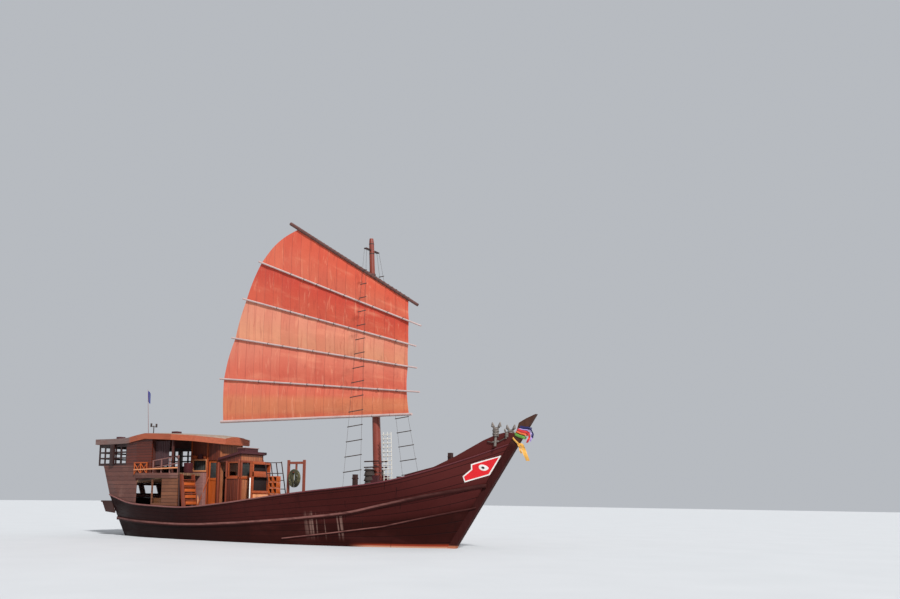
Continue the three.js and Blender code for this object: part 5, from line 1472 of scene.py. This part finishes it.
def roof_gear():
    rod("flagstaff", (-9.30, 0, 4.66), (-9.513, 0, 7.19), 0.014, WEATHERED_FLAT, 0.008, 10)
    points = []
    for u in steps(0, 1, 13):
        for v in steps(0, 1, 7):
            points.append((-9.50 - 0.02 * v + 0.24 * u, 0.035 * math.sin(5 * u + v),
                           7.12 - 0.52 * v - 0.14 * u))
    blue = ribbon_cloth("flag_cloth", (40, 60, 150), (22, 30, 90))
    flag = grid_cloth("small_flag", points, 6, 0.003, blue)
    x = -8.95
    lamps = [rod("stem", (x, 0, 4.86), (x, 0, 5.36), 0.022, IRON, sides=10),
             rod("arm", (x, -0.16, 5.30), (x, 0.16, 5.30), 0.016, IRON, sides=8)]
    lamps += [rod("lamp", (x, y, 5.28), (x, y, 5.46), 0.045, IRON, sides=12) for y in (-0.16, 0.16)]
    joined("roof_lamps", lamps)
    timber("roof_box_aft", (-10.20, -1.2, 4.62), (-9.90, -0.9, 4.75), DARK_RED_WOOD)
    timber("roof_box_fore", (-6.2, -1.3, 4.80), (-5.85, -1.0, 4.90), DARK_RED_WOOD)


def stern_window_posts():
    """A broad post between the two lights of each side's stern windows."""
    for way, side in SIDES:
        timber(f"stern_window_post_{side}", *on_side(way, -9.42, -9.16, 2.05, 2.16, 3.34, 4.30),
               LATTICE_WOOD)


CABINET_BOARDS = (  # y from and to, z from and to
    (-0.57, 0.57, 3.36, 3.47), (-0.57, 0.57, 2.80, 3.03), (-0.57, 0.57, 2.05, 2.16),
    (-0.57, -0.51, 2.16, 3.36), (0.51, 0.57, 2.16, 3.36),
)
CRATES_AT = (0.30, -1.72, 1.29)
CRATE = 0.25
CRATE_GAP = 0.008
CRATE_WALL = 0.04


def crates(name, x, y, z):
    """Two columns of open boxes stacked on the deck, each with a dark board halfway in that is painted
    shade inside the box.
    """
    half = (CRATE - CRATE_GAP) / 2
    hole = half - CRATE_WALL
    pattern = joined("crate", [
        timber("wall", (-half, -half, -half), (-hole, half, half), VARNISH_DOOR),
        timber("wall", (hole, -half, -half), (half, half, half), VARNISH_DOOR),
        timber("wall", (-hole, -half, -half), (hole, half, -hole), VARNISH_DOOR),
        timber("wall", (-hole, -half, hole), (hole, half, half), VARNISH_DOOR),
        timber("board", (-hole, -0.01, -hole), (hole, 0.01, hole), PAINTED_SHADE_WOOD, edge=0.001),
    ])
    copies = []
    for column in range(2):
        for row in range(6):
            copy = in_scene("crate", pattern.data.copy())
            copy.location = (x + (column + 0.5) * CRATE, y + CRATE / 2, z + (row + 0.5) * CRATE)
            fixed(copy)
            copies.append(copy)
    bpy.data.objects.remove(pattern)
    hang(joined(name, copies), "boat")


LIGHT_SIDES = (5.40, 5.59, 5.78)  # x of the three ropes at their feet
LIGHT_PATH = ((0, -0.40, 2.30), (-0.06, -0.36, 3.4), (-0.16, -0.30, 4.62))
LIGHT_RUNGS = steps(2.55, 4.50, 12)
LIGHT_RUNG = (5.36, 5.82)


def light_ladder():
    """A pale rope ladder that hangs beside the mast."""
    parts = [line("side", [Vector((x, 0, 0)) + Vector(at) for at in LIGHT_PATH], 0.016, PALE_ROPE)
             for x in LIGHT_SIDES]
    (_, _, foot), (shift, _, head) = LIGHT_PATH[0], LIGHT_PATH[-1]
    aft, fore = LIGHT_RUNG
    for z in LIGHT_RUNGS:
        moved = shift * (z - foot) / (head - foot)
        parts.append(rod("rung", (aft + moved, -0.37, z), (fore + moved, -0.37, z + 0.02), 0.017,
                         PALE_ROPE, sides=8))
    joined("light_ladder", parts)


BACKS = ((3.055, 3.355), (2.185, 2.775))  # z from and to
BUNDLE_AT = (4.62, 0.372)
BUNDLE_TURNS = steps(2.24, 3.08, 17)
PINS_AT = (2.42, 3.18, 3.42)
PIN_OUT = 0.31


def deck_gear():
    # The cabinet's dark backs are painted shade in its openings.
    boards("cabinet_backs", [(PAINTED_SHADE_WOOD, (-1.828, -0.505, z0), (-1.818, 0.505, z1))
                             for z0, z1 in BACKS], edge=0.001)
    timber("cabinet_foot_board", (-1.70, -0.50, 1.40), (-1.682, 0.50, 2.02), VARNISH_PALE)
    boards("cabinet_frame", [(VARNISH, (-1.70, y0, z0), (-1.66, y1, z1))
                             for y0, y1, z0, z1 in CABINET_BOARDS])
    rod("white_post", (-1.77, -0.62, 1.04), (-1.77, -0.62, 2.75), 0.030, WHITE_PAINT, sides=12)
    crates("deck_crates", *CRATES_AT)
    for way, side in SIDES:
        turns = []
        for k, z in enumerate(BUNDLE_TURNS):
            around = ring_points(Vector((BUNDLE_AT[0], way * BUNDLE_AT[1], z)), Vector((0, 0, 1)),
                                 0.20 - 0.016 * (k % 4), 18, 0.06)
            turns.append(line("turn", around, 0.027, DARK_ROPE, sides=7))
        joined(f"mast_rope_bundle_{side}", turns)
        y = way * PIN_OUT
        joined(f"mast_pins_{side}", [
            rod("pin", (4.30, y, z), (5.05, y, z + 0.02), 0.026, DARK_WOOD, sides=10)
            for z in PINS_AT])
    light_ladder()


# Studio: each sun's name, azimuth, elevation, strength and width in degrees
SUNS = ("key", -34, 40, 4.4, 6), ("fill", 75, 25, 0.35, 40)
FLOOR_TONES = (0.50, 0.51, 0.52, 1), (0.55, 0.56, 0.57, 1)
SKY = (0.86, 0.90, 0.96, 1)
SKY_STRENGTH = 0.55


def studio():
    bpy.context.scene.view_settings.view_transform = "Standard"
    world = bpy.data.worlds.new("studio")
    world.use_nodes = True
    bpy.context.scene.world = world
    background = world.node_tree.nodes["Background"]
    background.inputs["Color"].default_value = SKY
    background.inputs["Strength"].default_value = SKY_STRENGTH
    deselect()
    bpy.ops.mesh.primitive_plane_add(size=400, location=(0, 0, 0))
    floor = bpy.context.object
    floor.name = "floor"
    pale = Finish("pale_floor", 0.9)
    pale.base(pale.noise(0.4, 2), *FLOOR_TONES)
    floor.data.materials.append(pale.material)
    for name, azimuth, elevation, strength, spread in SUNS:
        deselect()
        bpy.ops.object.light_add(type="SUN")
        sun = bpy.context.object
        sun.name = name
        sun.data.energy = strength
        sun.data.angle = math.radians(spread)
        a, e = math.radians(azimuth), math.radians(elevation)
        towards = Vector((math.cos(a) * math.cos(e), math.sin(a) * math.cos(e), math.sin(e)))
        sun.rotation_mode = "QUATERNION"
        sun.rotation_quaternion = towards.to_track_quat("Z", "Y")


def camera():
    data = bpy.data.cameras.new("camera")
    data.sensor_width = SENSOR
    data.lens = SENSOR * FOCAL_PX / PICTURE_PX
    data.shift_y = SHIFT_PX / PICTURE_PX
    data.clip_end = 500
    view = in_scene("camera", data)
    a, pitch, roll = (math.radians(v) for v in (CAMERA_AZIMUTH, CAMERA_PITCH, CAMERA_ROLL))
    level = Vector((-math.sin(a), math.cos(a), 0))
    right = Vector((math.cos(a), math.sin(a), 0))
    ahead = level * math.cos(pitch) + Vector((0, 0, math.sin(pitch)))
    up = right.cross(ahead)
    rolled_right = right * math.cos(roll) + up * math.sin(roll)
    rolled_up = up * math.cos(roll) - right * math.sin(roll)
    turn = Matrix((rolled_right, rolled_up, -ahead)).transposed()
    view.matrix_world = Matrix.Translation(CAMERA_AT) @ turn.to_4x4()
    bpy.context.scene.camera = view


# Order of work
for step in (
    camera, studio, finish_nodes, rope_coil, hull_skin, wales, cap_rail, sail, lashings, mast,
    ladders, bow_eyes, ribbons, bow_gear, deckhouse, side_door_trim, wheelhouse, poop_details,
    stair_risers, roof_gear, stern_window_posts, deck_gear,
):
    step()
